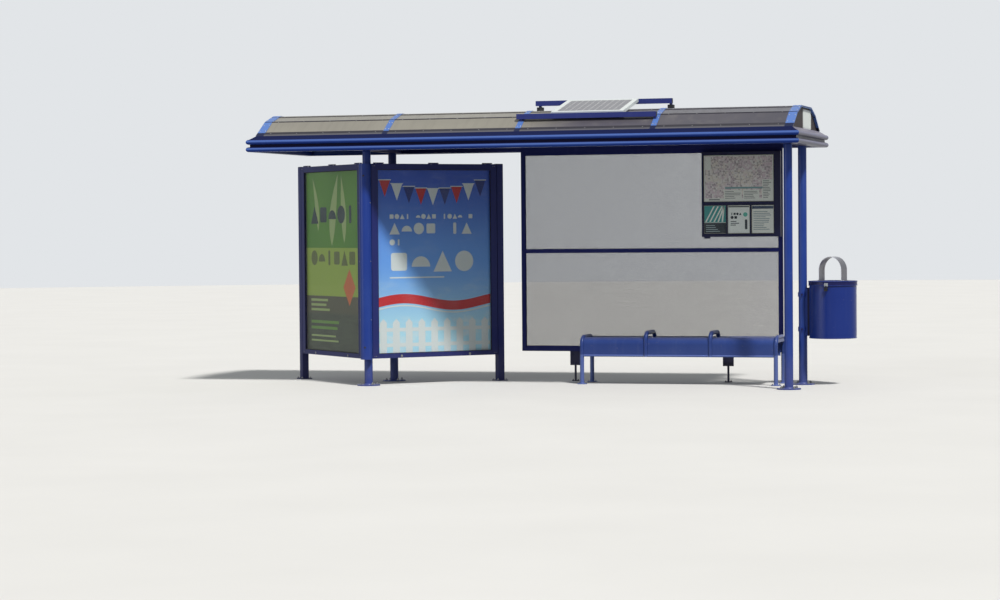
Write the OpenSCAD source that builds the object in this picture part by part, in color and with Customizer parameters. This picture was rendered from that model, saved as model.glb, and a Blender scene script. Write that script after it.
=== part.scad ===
// Bus shelter with a faceted roof, a V of two poster cases, a rear screen, a bench and a bin
// Millimetres, +Z up, -Y is the street side, ground at z = 0
// Origin: ground level, under the middle of the overall box
// Working frame of the modules: x = 0 at the middle of the roof, y = 0 at the front posts

/* [Posts] */
// Distance between the left and the right posts
post_pitch_x = 3860; // [3400:10:4000]
// Distance between the front and the rear posts
post_pitch_y = 730; // [600:10:800]
// Outer diameter of a post
post_d = 76; // [60:1:90]
// Wall of a post
post_wall = 4; // [3:0.5:6]
// Diameter of a round base plate
base_d = 210; // [180:5:260]
// Thickness of a round base plate
base_t = 10; // [8:1:16]
// Diameter of the circle of anchor holes
anchor_pcd = 160; // [140:5:180]
// Diameter of an anchor hole
anchor_hole_d = 16; // [12:1:20]

/* [Roof frame] */
// Length of the roof over its beads
roof_len = 5070; // [4600:10:5400]
// Depth of the roof over its beads
roof_depth = 1565; // [1400:5:1700]
// From the middle of the front posts to the front of the roof
front_overhang = 283; // [200:1:350]
// From the middle of the right posts to the right end of the roof
right_overhang = 148; // [145:1:250]
// Height of the underside of the roof frame
frame_z = 2130; // [2000:10:2300]
// Diameter of the two round beads along the frame
bead_d = 44; // [35:1:50]
// Distance between the middles of the two beads
bead_pitch = 67; // [55:1:80]
// Width of the frame's hollow section
frame_w = 95; // [80:1:110]
// Rise of the sloping top of the section from the upper bead to its inner edge
eave_rise = 34; // [20:1:50]
// Wall of the section
frame_wall = 3; // [2:0.5:5]
// Depth of the recess between the beads
recess = 30; // [20:1:34]
// Width of a cross beam
beam_w = 50; // [40:1:60]
// Height of a cross beam and of the screen's header
beam_h = 60; // [40:1:80]

/* [Vault] */
// Rise of the flat top of the roof over its springing
vault_rise = 191; // [165:1:230]
// Half of the width of the flat top
crown_half = 254; // [200:1:290]
// Rise of the lower glazing bar over the springing
bar_rise = 131; // [110:1:150]
// Thickness of a roof panel
panel_t = 6; // [4:0.5:10]
// Distance between the middles of the middle ribs
rib_pitch = 1232; // [1100:1:1240]
// Width of the cap of a middle rib
rib_w = 50; // [40:1:80]
// Width of the cap of an end rib
end_rib_w = 75; // [50:1:90]
// Thickness of a rib's cap and shelf
rib_t = 4; // [3:0.5:6]
// Distance from the springing to the lower glazing bar, along the ground
bar_low = 227; // [190:1:270]
// Distance from the springing to the upper glazing bar, along the ground
bar_high = 396; // [340:1:420]
// Width of a glazing bar
bar_w = 16; // [10:1:30]
// Width of the strip over the lower edge of the panels, along the ground
eave_w = 48; // [30:1:70]
// Size of a square purlin under the ribs
purlin_w = 30; // [25:1:40]

/* [Rear screen] */
// From the front posts to the middle of the screen
screen_y = 965; // [900:5:1050]
// From the middle of the right posts to the middle of the right stile
screen_gap = 238; // [200:1:300]
// From the right case's end post to the middle of the left stile
case_screen_gap = 187; // [120:1:300]
// Size of the square tube of the stiles
stile_w = 36; // [30:1:50]
// Height of the underside of the screen
screen_z = 276; // [200:1:400]
// Height of the middle of the middle rail
mid_rail_z = 1204; // [900:1:1300]
// Height of the bottom rail
bottom_rail_h = 45; // [35:1:60]
// Height of the middle rail
mid_rail_h = 30; // [20:1:40]
// Height of the top rail
top_rail_h = 35; // [25:1:50]
// Thickness of a screen sheet
sheet_t = 3; // [2:0.5:6]
// From a stile to the middle of the nearer support
support_in = 490; // [300:5:700]
// Diameter of a support rod
rod_d = 20; // [14:1:30]

/* [Information case] */
// Width of the case
info_w = 725; // [600:5:900]
// Depth of the case
info_t = 55; // [40:1:70]
// Height of the larger sheet
map_h = 428; // [300:1:460]
// Height of the three smaller sheets
notice_h = 262; // [200:1:300]
// Width of the bars of its front
info_bar = 27; // [20:1:40]

/* [Bench] */
// Distance between the middles of neighbouring hoops
seat_pitch = 593; // [500:1:620]
// From the middle of the right posts to the middle of the right hoop
bench_gap = 205; // [160:1:260]
// From the front posts to the middle of the front legs
bench_y = 500; // [420:5:520]
// Distance between the middles of the front and the rear legs
bench_depth = 370; // [340:5:400]
// Diameter of the bench tube
hoop_d = 38; // [30:1:42]
// Wall of the bench tube
hoop_wall = 3; // [2:0.5:4]
// Height of the top of an end hoop
hoop_z = 445; // [420:1:480]
// Height of the top of a middle hoop
arm_z = 485; // [470:1:560]
// Radius of the hoops' bends
hoop_bend = 75; // [60:1:90]
// Height of the top of the seats
seat_z = 424; // [400:1:430]
// Height of the seats' front edge
lip_z = 250; // [230:1:300]
// Thickness of a seat sheet
seat_t = 4; // [3:0.5:6]

/* [Bin] */
// Diameter of the bin
bin_d = 432; // [350:2:480]
// Height of the bin
bin_h = 512; // [400:1:600]
// Height of the underside of the bin
bin_z = 416; // [300:1:500]
// Diameter of the round mouth in the bin's lid
mouth_d = 156; // [120:2:160]
// Gap between the post and the bin
bin_gap = 16; // [10:1:40]
// Wall of the bin
bin_wall = 3; // [2:0.5:5]
// Height of the lid's skirt
rim_h = 42; // [30:1:60]
// Width of the arched strap over all
strap_w = 242; // [200:2:260]
// Height of the arched strap above the lid
strap_h = 215; // [160:5:260]
// Width of the strip that the strap is bent from
strap_band = 90; // [40:5:110]
// Turn of the strap about the bin's middle
strap_turn = 25; // [0:5:90]

/* [Solar set] */
// From the middle of the roof forwards to the front rail
solar_front = 535; // [500:1:560]
// Distance between the two rails
solar_pitch_y = 646; // [600:1:690]
// Size of a square rail
solar_rail_w = 46; // [38:1:54]
// Length of a rail beyond the rib at its left end
solar_over = 40; // [30:1:60]
// Height of the rear rail above the front rail
solar_lift = 144; // [120:1:170]
// Width of the panel
solar_w = 660; // [500:5:800]
// Thickness of the panel
solar_t = 26; // [20:1:30]
// Height of the panel's face over the rails
panel_up = 6; // [2:1:12]

/* [Poster cases] */
// Width of the poster that shows
poster_w = 1168; // [1000:1:1180]
// Height of the poster that shows
poster_h = 1677; // [1500:1:1750]
// Width of the stiles of a case door
door_stile = 62; // [45:1:80]
// Height of the top rail of a case door
door_top = 52; // [40:1:70]
// Height of the bottom rail of a case door
door_bottom = 41; // [35:1:70]
// Thickness of a case door
door_t = 22; // [18:1:24]
// Height of the underside of the cases
case_z = 245; // [200:1:300]
// From the middle of the corner post to the front of a door
door_face = 61; // [61:1:70]
// Depth of a case behind its door
case_t = 83; // [60:1:120]
// Wall of a case
case_wall = 3; // [2:0.5:5]
// Size of the square end posts
end_post_w = 63; // [50:1:80]
// Outer diameter of the rounded corner column
column_d = 110; // [108:1:114]
// Clearance round a door
door_gap = 6; // [5:1:8]
// Diameter of a hinge pin
pin_d = 6; // [5:0.5:8]

/* [Hidden] */
$fn = 48;

// Seating gap between pieces that touch along curves
seat_gap = 0.3;
// Cut past a face, so that no skin is left
cut = 1;

// Roof outline
roof_x = roof_len / 2;
roof_y0 = -front_overhang;
roof_y1 = roof_y0 + roof_depth;
roof_yc = (roof_y0 + roof_y1) / 2;
right_x = roof_x - right_overhang;
left_x = right_x - post_pitch_x;
frame_h = bead_d + bead_pitch;
frame_top = frame_z + frame_h + eave_rise;
inner_y0 = roof_y0 + frame_w;
inner_y1 = roof_y1 - frame_w;

// Flat ledge along the inner edge of the frame, on which the ribs stand
ledge_w = 20;

// Vault: five flat faces along x that spring from the inner edges of the frame
half_span = roof_depth / 2 - frame_w + rib_t;
ledge_y = roof_depth / 2 - frame_w + ledge_w;
spring_z = frame_top + 4;
top_z = spring_z + vault_rise;
low_slope = atan(bar_rise / bar_low);
high_slope = atan((vault_rise - bar_rise) / (half_span - crown_half - bar_low));
rib_web = 10;
end_rib_x = roof_x - frame_w + 29 - end_rib_w / 2;
big_fn = 360;

// Height of the panels' outer face, by the distance from the front posts
function roof_z(y) = lookup(half_span - abs(y - roof_yc), [
    [0, spring_z], [bar_low, spring_z + bar_rise], [half_span - crown_half, top_z]
]);

// Bench
bench_x1 = right_x - bench_gap;
bench_x0 = bench_x1 - 3 * seat_pitch;

// Bin
bin_x = right_x + post_d / 2 + bin_gap + bin_d / 2;
bin_right = bin_x + bin_d / 2;

// Poster cases, in the frame of one case: x along it from the corner post, y towards its back
door_x0 = 16;
door_w = poster_w + 2 * door_stile;
door_x1 = door_x0 + door_w;
door_h = poster_h + door_top + door_bottom;
case_top = case_z + door_h;
end_post_x = door_x1 + door_gap;
case_y0 = -door_face + door_t + door_gap;
case_x0 = max(post_d / 2 + 10, case_y0 + case_t + 1);
case_reach = (end_post_x + end_post_w + door_face) * cos(45);
knuckle_d = pin_d + 4;
hinge_y = -door_face + door_t / 2;
hinge_z = case_top + knuckle_d / 2 + 1;
hinge_len = 90;
hinge_in = 1.37 * door_stile;
hinge_xs = [door_x0 + hinge_in, (door_x0 + door_x1) / 2, door_x1 - hinge_in];

// Screen
screen_x1 = right_x - screen_gap;
screen_x0 = left_x + case_reach + case_screen_gap;
screen_w = screen_x1 - screen_x0;

// Middle of the overall box
mid_x = (bin_right - roof_x) / 2;
mid_y = roof_yc;

frame_blue = [0.13, 0.2, 0.48];
rib_blue = [0.36, 0.52, 0.8];
dark_blue = [0.08, 0.09, 0.2];
smoke = [0.45, 0.43, 0.4];
steel = [0.7, 0.7, 0.68];

// Moves the working frame so that the origin is under the middle of the overall box
module placed() {
    translate([-mid_x, -mid_y, 0]) children();
}

// Stands a plane drawing up: drawing x becomes y, drawing y becomes z, extruded along x
module along_x(length) {
    rotate([90, 0, 90]) linear_extrude(height = length, center = true) children();
}

// Hollow round tube along z
module tube(outer, wall, length) {
    difference() {
        cylinder(d = outer, h = length);
        translate([0, 0, -cut]) cylinder(d = outer - 2 * wall, h = length + 2 * cut);
    }
}

// Hollow square or oblong tube along x
module box_tube_x(width, height, wall, length) {
    along_x(length) difference() {
        square([width, height], center = true);
        square([width - 2 * wall, height - 2 * wall], center = true);
    }
}

// Corner between two slopes, after both sides have moved outwards by a distance
function moved(p, a, b, out) = p + out * [sin((a + b) / 2), cos((a + b) / 2)] / cos((a - b) / 2);

// Section of the vault, with its sides moved outwards by a distance
module vault_outline(out) {
    past = 60;
    foot = moved([half_span + past, spring_z - past * tan(low_slope)], low_slope, low_slope, out);
    side = [
        [foot.x, 0], foot,
        moved([half_span - bar_low, spring_z + bar_rise], low_slope, high_slope, out),
        moved([crown_half, top_z], high_slope, 0, out)
    ];
    polygon(concat(side, [for (i = [3:-1:0]) [-side[i].x, side[i].y]]));
}

// Layer of the vault above the ledge, between two offsets and two distances from the middle
module roof_band(inner, outer, y0, y1, length) {
    translate([0, roof_yc, 0]) along_x(length) intersection() {
        difference() {
            vault_outline(outer);
            vault_outline(inner);
        }
        translate([y0, frame_top]) square([y1 - y0, 2 * vault_rise]);
    }
}

// Post on its round base plate with anchor holes
module post(x, y) {
    color(frame_blue) placed() translate([x, y, 0]) {
        difference() {
            cylinder(d = base_d, h = base_t, $fn = 96);
            for (i = [0:3]) rotate(45 + 90 * i) translate([anchor_pcd / 2, 0, -cut])
                cylinder(d = anchor_hole_d, h = base_t + 2 * cut);
        }
        translate([0, 0, base_t]) tube(post_d, post_wall, frame_z - base_t);
    }
}

// Section of the roof frame: x inwards from the outer face, y up from the underside
module frame_section() {
    r = bead_d / 2;
    top = bead_d + bead_pitch;
    difference() {
        union() {
            translate([r, r]) circle(r = r);
            translate([r, top - r]) circle(r = r);
            polygon([
                [recess, r], [r, 0], [frame_w, 0], [frame_w, top + eave_rise],
                [frame_w - ledge_w, top + eave_rise], [r, top], [recess, top - r]
            ]);
        }
        difference() {
            polygon([
                [recess + frame_wall, bead_d + 3], [r + frame_wall + 4, frame_wall],
                [frame_w - frame_wall, frame_wall], [frame_w - frame_wall, top + eave_rise - 6],
                [frame_w - ledge_w, top + eave_rise - 6],
                [r + frame_wall + 4, top - frame_wall], [recess + frame_wall, top - bead_d - 3]
            ]);
            translate([r, r]) circle(r = r);
            translate([r, top - r]) circle(r = r);
        }
        translate([r, r]) circle(r = r - frame_wall - 3);
        translate([r, top - r]) circle(r = r - frame_wall - 3);
    }
}

// One side of the roof frame, mitred at both ends, with its outer face along x at y = 0
module frame_side(length) {
    intersection() {
        translate([0, 0, frame_z]) along_x(length) frame_section();
        linear_extrude(height = 2 * frame_top)
            polygon([
                [-length / 2, 0], [length / 2, 0],
                [length / 2 - frame_w, frame_w], [-length / 2 + frame_w, frame_w]
            ]);
    }
}

module front_fascia() {
    color(frame_blue) placed() translate([0, roof_y0, 0]) frame_side(roof_len);
}

module rear_fascia() {
    color(frame_blue) placed() translate([0, roof_y1, 0]) rotate(180) frame_side(roof_len);
}

module left_fascia() {
    color(frame_blue) placed() translate([-roof_x, roof_yc, 0]) rotate(-90) frame_side(roof_depth);
}

module right_fascia() {
    color(frame_blue) placed() translate([roof_x, roof_yc, 0]) rotate(90) frame_side(roof_depth);
}

// Beams over each pair of posts, from the front to the rear of the frame
module cross_beams() {
    length = inner_y1 - inner_y0;
    color(frame_blue) placed() for (x = [left_x, right_x])
        translate([x, roof_yc, frame_z + beam_h / 2]) rotate(90)
            box_tube_x(beam_w, beam_h, frame_wall, length);
}

// Beam between the cross beams that carries the top of the screen
module screen_header() {
    length = post_pitch_x - beam_w;
    color(frame_blue) placed() translate([(left_x + right_x) / 2, screen_y, frame_z + beam_h / 2])
        box_tube_x(beam_w, beam_h, frame_wall, length);
}

// Rib of H section: a cap over the panel edges, a web and a shelf under them
module rib(x, width) {
    translate([x, 0, 0]) {
        roof_band(0, rib_t, -ledge_y, ledge_y, width);
        roof_band(-panel_t - cut, cut, -ledge_y, ledge_y, rib_web);
        roof_band(-panel_t - rib_t, -panel_t, -ledge_y, ledge_y, width);
    }
}

module end_ribs() {
    color(rib_blue) placed() for (side = [-1, 1]) rib(side * end_rib_x, end_rib_w);
}

module middle_ribs() {
    color(rib_blue) placed() for (i = [-1:1]) rib(i * rib_pitch, rib_w);
}

// Distances from the middle at which the strips of a panel start and end
panel_in = 14;
seams = [
    panel_in - half_span, bar_low - half_span, bar_high - half_span,
    half_span - bar_high, half_span - bar_low, half_span - panel_in
];

// Bay of the roof between two ribs
function rib_x(i) = (i == 0 ? -1 : i == 4 ? 1 : 0) * end_rib_x + (i > 0 && i < 4 ? (i - 2) * rib_pitch : 0);
function bay_mid(i) = (rib_x(i) + rib_x(i + 1)) / 2;
function bay_len(i) = rib_x(i + 1) - rib_x(i) - rib_web - 2;

// Bars run from the cap of one rib to the cap of the next
function cap_w(i) = i == 0 || i == 4 ? end_rib_w : rib_w;
function bar_len(i) = rib_x(i + 1) - rib_x(i) - (cap_w(i) + cap_w(i + 1)) / 2 - 2 * seat_gap;
function bar_mid(i) = bay_mid(i) + (cap_w(i) - cap_w(i + 1)) / 4;

// Five strips that close one bay
module roof_panel(bay) {
    color(smoke) placed() translate([bay_mid(bay), 0, 0]) for (s = [0:4])
        roof_band(-panel_t, 0, seams[s] + (s > 0 ? bar_w / 4 : 0),
            seams[s + 1] - (s < 4 ? bar_w / 4 : 0), bay_len(bay));
}

// Bars that join the strips of the panels, from rib to rib
module glazing_bars() {
    color(dark_blue) placed() for (bay = [0:3]) translate([bar_mid(bay), 0, 0]) {
        length = bar_len(bay);
        for (s = [1:4]) {
            roof_band(0, 3, seams[s] - bar_w / 2, seams[s] + bar_w / 2, length);
            roof_band(-panel_t - cut, cut, seams[s] - bar_w / 4, seams[s] + bar_w / 4, length);
            roof_band(-panel_t - 3, -panel_t, seams[s] - bar_w / 2, seams[s] + bar_w / 2, length);
        }
        eave_strips(length);
    }
}

// Strips that hold the lower edges of the panels on the ledge
module eave_strips(length) {
    difference() {
        roof_band(-panel_t - 3, 3, -ledge_y, ledge_y, length);
        roof_band(-panel_t - 4, 4, eave_w - half_span, half_span - eave_w, length + cut);
        roof_band(-panel_t, 0, seams[0], seams[5], length + cut);
    }
}

// Square tubes that run under all ribs
module purlins() {
    length = 2 * (roof_x - frame_w + gable_t / 2 - seat_gap);
    color(frame_blue) placed() for (side = [-1, 1])
        translate([0, roof_yc + side * 0.55 * crown_half, top_z - panel_t - rib_t - purlin_w / 2])
            box_tube_x(purlin_w, purlin_w, frame_wall, length);
}

// Plates that close the two ends of the vault, on the frame and under the end ribs
gable_t = 5;
module gable_ends() {
    color(dark_blue) placed() for (side = [-1, 1])
        translate([side * (roof_x - frame_w + gable_t), roof_yc, 0]) along_x(gable_t) intersection() {
            vault_outline(-panel_t - rib_t);
            translate([-half_span, frame_top]) square([2 * half_span, 2 * vault_rise]);
        }
}

// Upright tubes of the screen
module screen_stiles() {
    color(dark_blue) placed() for (x = [screen_x0, screen_x1])
        translate([x, screen_y, (screen_z + frame_z) / 2]) rotate([0, 90, 0])
            box_tube_x(stile_w, stile_w, 2, frame_z - screen_z);
}

// Level tube between the stiles
module screen_rail(z, height) {
    translate([(screen_x0 + screen_x1) / 2, screen_y, z])
        box_tube_x(stile_w, height, 2, screen_w - stile_w);
}

module screen_rails() {
    color(dark_blue) placed() {
        screen_rail(screen_z + bottom_rail_h / 2, bottom_rail_h);
        screen_rail(mid_rail_z, mid_rail_h);
        screen_rail(frame_z - top_rail_h / 2, top_rail_h);
    }
}

// Sheet between the stiles and two rails
module screen_sheet(z0, z1) {
    color([0.3, 0.32, 0.45, 0.6]) placed()
        translate([screen_x0 + stile_w / 2, screen_y - sheet_t / 2, z0])
            cube([screen_w - stile_w, sheet_t, z1 - z0]);
}

module screen_upper_sheet() {
    screen_sheet(mid_rail_z + mid_rail_h / 2, frame_z - top_rail_h);
}

module screen_lower_sheet() {
    screen_sheet(screen_z + bottom_rail_h, mid_rail_z - mid_rail_h / 2);
}

// Plate, rod and foot that hold up the screen
module screen_feet() {
    plate = [5 * rod_d, 8, 6.5 * rod_d];
    foot_t = 6;
    color(dark_blue) placed() for (x = [screen_x0 + support_in, screen_x1 - support_in])
        translate([x, screen_y, 0]) {
            translate([-plate.x / 2, -plate.y / 2, screen_z - plate.z]) cube(plate);
            cylinder(d = rod_d, h = screen_z - plate.z + 30);
            cylinder(d = 3.5 * rod_d, h = foot_t);
        }
}

// Information case on the front of the screen's right stile
info_x1 = screen_x1 + stile_w / 2 - 6;
info_x0 = info_x1 - info_w;
info_z1 = frame_z - top_rail_h;
info_h = map_h + notice_h + 3 * info_bar;
info_z0 = info_z1 - info_h;
info_y1 = screen_y - stile_w / 2;
info_y0 = info_y1 - info_t;
map_w = info_w - 2.8 * info_bar;
sheet_x0 = info_x0 + 0.6 * info_bar;
notice_z0 = info_z0 + info_bar;
map_z0 = info_z1 - info_bar - map_h;
notice_gap = 9;
notice_w = (map_w - 2 * notice_gap) / 3;

// Openings of the case's front: the larger sheet and the row of three
module info_windows(depth, inset) {
    translate([sheet_x0 + inset, info_y0, map_z0 + inset])
        cube([map_w - 2 * inset, depth, map_h - 2 * inset]);
    for (i = [0:2]) translate([sheet_x0 + i * (notice_w + notice_gap) + inset, info_y0, notice_z0 + inset])
        cube([notice_w - 2 * inset, depth, notice_h - 2 * inset]);
}

module info_case() {
    color(dark_blue) placed() difference() {
        translate([info_x0, info_y0, info_z0]) cube([info_w, info_t, info_h]);
        translate([0, -cut, 0]) info_windows(8 + cut, 0);
        translate([info_x0 + 10, info_y0 + 8, info_z0 + 10])
            cube([info_w - 20, info_t - 12, info_h - 20]);
    }
}

module info_sheets() {
    color([0.8, 0.8, 0.76]) placed() translate([0, 5, 0]) info_windows(2, seat_gap);
}

// Side outline of a seat: rolled lip, apron, crown, dished pan and turned-down rear edge
seat_y0 = bench_y - hoop_d / 2;
seat_y1 = bench_y + bench_depth - hoop_d / 2 - 6;
crown_r = 62;
lip_r = 9;
dish_r = 620;
dish_y = (seat_y0 + lip_r + crown_r + seat_y1) / 2;
dish_z = seat_z + dish_r - 12;

module seat_outline(r) {
    apron_y = seat_y0 + lip_r;
    crown = [apron_y + crown_r, seat_z - crown_r];
    difference() {
        translate(crown) circle(r = crown_r - r, $fn = 96);
        translate([crown.x, 0]) square(2 * seat_z);
        square([2 * seat_y1, crown.y]);
    }
    translate([apron_y + r, lip_z]) square([crown_r - r + cut, crown.y - lip_z + cut]);
    difference() {
        translate([crown.x - cut, lip_z]) square([seat_y1 - r - crown.x + cut, seat_z - r - lip_z]);
        translate([dish_y, dish_z]) circle(r = dish_r + r, $fn = big_fn);
    }
}

module seat() {
    width = seat_pitch - hoop_d - 2 * seat_gap;
    along_x(width) union() {
        difference() {
            seat_outline(0);
            difference() {
                seat_outline(seat_t);
                square([2 * seat_y1, 0.1]);
            }
            translate([seat_y0 + lip_r + seat_t, lip_z - cut])
                square([seat_y1 - seat_y0 - lip_r - 2 * seat_t, 90]);
        }
        translate([seat_y0 + lip_r, lip_z + lip_r]) difference() {
            circle(r = lip_r);
            circle(r = lip_r - seat_t);
        }
    }
}

module bench_seats() {
    color(frame_blue) placed() for (i = [0:2])
        translate([bench_x0 + (i + 0.5) * seat_pitch, 0, 0]) seat();
}

// Quarter bend of the bench tube in the plane of y and z, from +z at the start to +y at the end
module hoop_corner() {
    rotate([90, 0, 90]) translate([hoop_bend, 0, 0]) rotate(90)
        rotate_extrude(angle = 90) translate([hoop_bend, 0]) difference() {
            circle(d = hoop_d);
            circle(d = hoop_d - 2 * hoop_wall);
        }
}

// Hoop from a front foot at foot_z over the top at top_z to the rear foot
module hoop(foot_z, top_z) {
    bend_z = top_z - hoop_d / 2 - hoop_bend;
    run = bench_depth - 2 * hoop_bend;
    translate([0, bench_y, foot_z]) tube(hoop_d, hoop_wall, bend_z - foot_z);
    translate([0, bench_y + bench_depth, foot_z]) tube(hoop_d, hoop_wall, bend_z - foot_z);
    translate([0, bench_y, bend_z]) hoop_corner();
    translate([0, bench_y + bench_depth, bend_z]) mirror([0, 1, 0]) hoop_corner();
    translate([0, bench_y + hoop_bend + run, bend_z + hoop_bend]) rotate([90, 0, 0])
        tube(hoop_d, hoop_wall, run);
}

bench_bar = 30;
rail_out = 85;
rail_in = rail_out - bench_bar / 2;
bench_bar_z = dish_z - sqrt((dish_r + seat_t) * (dish_r + seat_t) - rail_in * rail_in) - seat_gap - bench_bar / 2;

// End frame of the bench: a hoop on two feet with a crossbar
module bench_frame(x) {
    foot_t = 6;
    color(frame_blue) placed() translate([x, 0, 0]) {
        hoop(foot_t, hoop_z);
        for (y = [bench_y, bench_y + bench_depth]) translate([0, y, 0])
            cylinder(d = 2.4 * hoop_d, h = foot_t);
        translate([0, bench_y + bench_depth / 2, bench_bar_z]) rotate(90)
            box_tube_x(bench_bar, bench_bar, 2, bench_depth - hoop_d + 4);
    }
}

// Middle hoops, which end on the rails under the seats
module bench_arms() {
    color(frame_blue) placed() for (i = [1, 2])
        translate([bench_x0 + i * seat_pitch, 0, 0]) {
            hoop(lip_z, arm_z);
            translate([0, bench_y + bench_depth / 2, bench_bar_z - bench_bar]) rotate(90)
                box_tube_x(bench_bar, bench_bar, 2, bench_depth - hoop_d + 4);
        }
}

// Rails under the seats, between the crossbars of the end frames
module bench_rails() {
    length = 3 * seat_pitch - bench_bar;
    color(frame_blue) placed() for (y = [dish_y - rail_out, dish_y + rail_out])
        translate([(bench_x0 + bench_x1) / 2, y, bench_bar_z])
            box_tube_x(bench_bar, bench_bar, 2, length);
}

// Open-topped bin, under the lid
rim_out = 6;
body_d = bin_d - 2 * rim_out - 2 * seat_gap;
body_h = bin_h - bin_wall - seat_gap;
module bin_body() {
    color(frame_blue) placed() translate([bin_x, post_pitch_y, bin_z]) difference() {
        cylinder(d = body_d, h = body_h, $fn = 96);
        translate([0, 0, bin_wall]) cylinder(d = body_d - 2 * bin_wall, h = bin_h, $fn = 96);
    }
}

// Lid with a skirt round the bin and a round mouth
module bin_lid() {
    color(frame_blue) placed() translate([bin_x, post_pitch_y, bin_z + bin_h]) difference() {
        translate([0, 0, -rim_h]) cylinder(d = bin_d, h = rim_h, $fn = 96);
        translate([0, 0, -rim_h - cut])
            cylinder(d = bin_d - 2 * rim_out, h = rim_h - bin_wall + cut, $fn = 96);
        translate([0, 0, -rim_h]) cylinder(d = mouth_d, h = rim_h + cut, $fn = 96);
    }
}

// Upright plate between the post and the bin, with two bands round the post
module bin_bracket() {
    plate_w = 60;
    band_h = 40;
    color(dark_blue) placed() translate([right_x, post_pitch_y, 0]) difference() {
        union() {
            translate([0, -plate_w / 2, bin_z + 20])
                cube([post_d / 2 + bin_gap + 20, plate_w, bin_h - rim_h - 40]);
            for (z = [bin_z + 1.5 * band_h, bin_z + bin_h - rim_h - 2.5 * band_h])
                translate([0, 0, z]) cylinder(d = post_d + 12, h = band_h);
        }
        cylinder(d = post_d, h = frame_z);
        translate([bin_x - right_x, 0, 0]) cylinder(d = body_d, h = frame_z, $fn = 96);
        translate([-post_d, -post_d, bin_z - cut]) cube([post_d - 10, 2 * post_d, 30]);
    }
}

// Arched strap bent from a strip, which stands on the lid over the mouth
module bin_strap() {
    t = 4;
    r = strap_w / 2;
    leg = strap_h - r;
    color(steel) placed() translate([bin_x, post_pitch_y, bin_z + bin_h]) rotate([90, 0, -strap_turn])
        linear_extrude(height = strap_band, center = true) difference() {
            union() {
                translate([0, leg]) circle(r = r, $fn = 96);
                translate([-r, 0]) square([strap_w, leg]);
            }
            translate([0, leg]) circle(r = r - t, $fn = 96);
            translate([-r + t, -cut]) square([strap_w - 2 * t, leg + cut]);
            translate([-r, -r]) square([strap_w, r]);
        }
}

// Rails of the solar set, on the two ribs right of the middle, high enough to clear the flat top
solar_front_y = roof_yc - solar_front;
solar_rear_y = solar_front_y + solar_pitch_y;
solar_x0 = -solar_over;
solar_len = rib_pitch + solar_over;
solar_tilt = atan(solar_lift / solar_pitch_y);
panel_clear = 3;
panel_under = solar_rail_w + panel_up - solar_t / cos(solar_tilt);
solar_z = max(
    roof_z(solar_front_y + solar_rail_w / 2) + rib_t + 1,
    top_z + panel_clear - panel_under - (solar_front - crown_half) * tan(solar_tilt)
);

module solar_rails() {
    foot_w = 24;
    color(frame_blue) placed() {
        for (r = [[solar_front_y, solar_z], [solar_rear_y, solar_z + solar_lift]])
            translate([solar_x0 + solar_len / 2, r[0], r[1] + solar_rail_w / 2])
                box_tube_x(solar_rail_w, solar_rail_w, 3, solar_len);
        difference() {
            for (x = [0, rib_pitch - foot_w / 2], y = [solar_front_y, solar_rear_y])
                translate([x - foot_w / 2, y - foot_w / 2, spring_z])
                    cube([foot_w, foot_w, (y > solar_front_y ? solar_lift : 0) + solar_z - spring_z + cut]);
            translate([0, roof_yc, 0]) along_x(2 * roof_len) vault_outline(rib_t + seat_gap);
        }
    }
}

// Panel that leans between the two rails, on angle clips
solar_depth = (solar_pitch_y - solar_rail_w - solar_t * sin(solar_tilt) - 2 * seat_gap) / cos(solar_tilt);
module solar_panel() {
    color([0.55, 0.56, 0.6]) placed()
        translate([solar_x0 + solar_len / 2, (solar_front_y + solar_rear_y) / 2,
                   solar_z + solar_lift / 2 + panel_under + solar_t / 2 / cos(solar_tilt)])
            rotate([solar_tilt, 0, 0]) cube([solar_w, solar_depth, solar_t], center = true);
}

// Rounded cover in front of the corner post, closed at its top and foot, on three spacers
module corner_column() {
    wall = 4;
    cy = -column_d / 2 + 5;
    color(frame_blue) placed() translate([left_x, 0, case_z - 6]) {
        difference() {
            translate([0, cy, 0]) cylinder(d = column_d, h = door_h + 6, $fn = 96);
            translate([0, cy, wall]) cylinder(d = column_d - 2 * wall, h = door_h + 6 - 2 * wall, $fn = 96);
            translate([-column_d, cy + 10, -cut]) cube([2 * column_d, column_d, door_h + 10]);
            translate([0, 0, -cut]) cylinder(d = post_d, h = door_h + 10);
        }
        for (z = [0.11 * door_h, door_h / 2, 0.89 * door_h]) translate([0, 0, z]) difference() {
            union() {
                translate([0, cy, 0]) cylinder(d = column_d - wall, h = 6, $fn = 96);
                translate([-30, cy, 0]) cube([60, 30, 6]);
            }
            for (side = [-1, 1]) translate([side * (30 + column_d), cy + 10 + column_d, 0])
                cube(2 * column_d, center = true);
            translate([-column_d, cy + 30, -cut]) cube([2 * column_d, column_d, 10]);
            translate([0, 0, -cut]) cylinder(d = post_d + 2 * seat_gap, h = 10);
        }
    }
}

// Places a case: side 1 is the right case, side -1 its mirror image
module at_case(side) {
    placed() translate([left_x, 0, 0]) mirror([side < 0 ? 1 : 0, 0, 0]) rotate(45) children();
}

module case_end_posts() {
    foot = [1.75 * end_post_w, 1.75 * end_post_w, base_t - 2];
    color(dark_blue) for (side = [-1, 1]) at_case(side) translate([end_post_x, -door_face, 0]) {
        translate([0, 0, foot.z]) difference() {
            cube([end_post_w, end_post_w, case_top - foot.z]);
            translate([3, 3, -cut]) cube([end_post_w - 6, end_post_w - 6, case_top - foot.z - 3 + cut]);
        }
        translate([(end_post_w - foot.x) / 2, (end_post_w - foot.y) / 2, 0]) cube(foot);
    }
}

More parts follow.
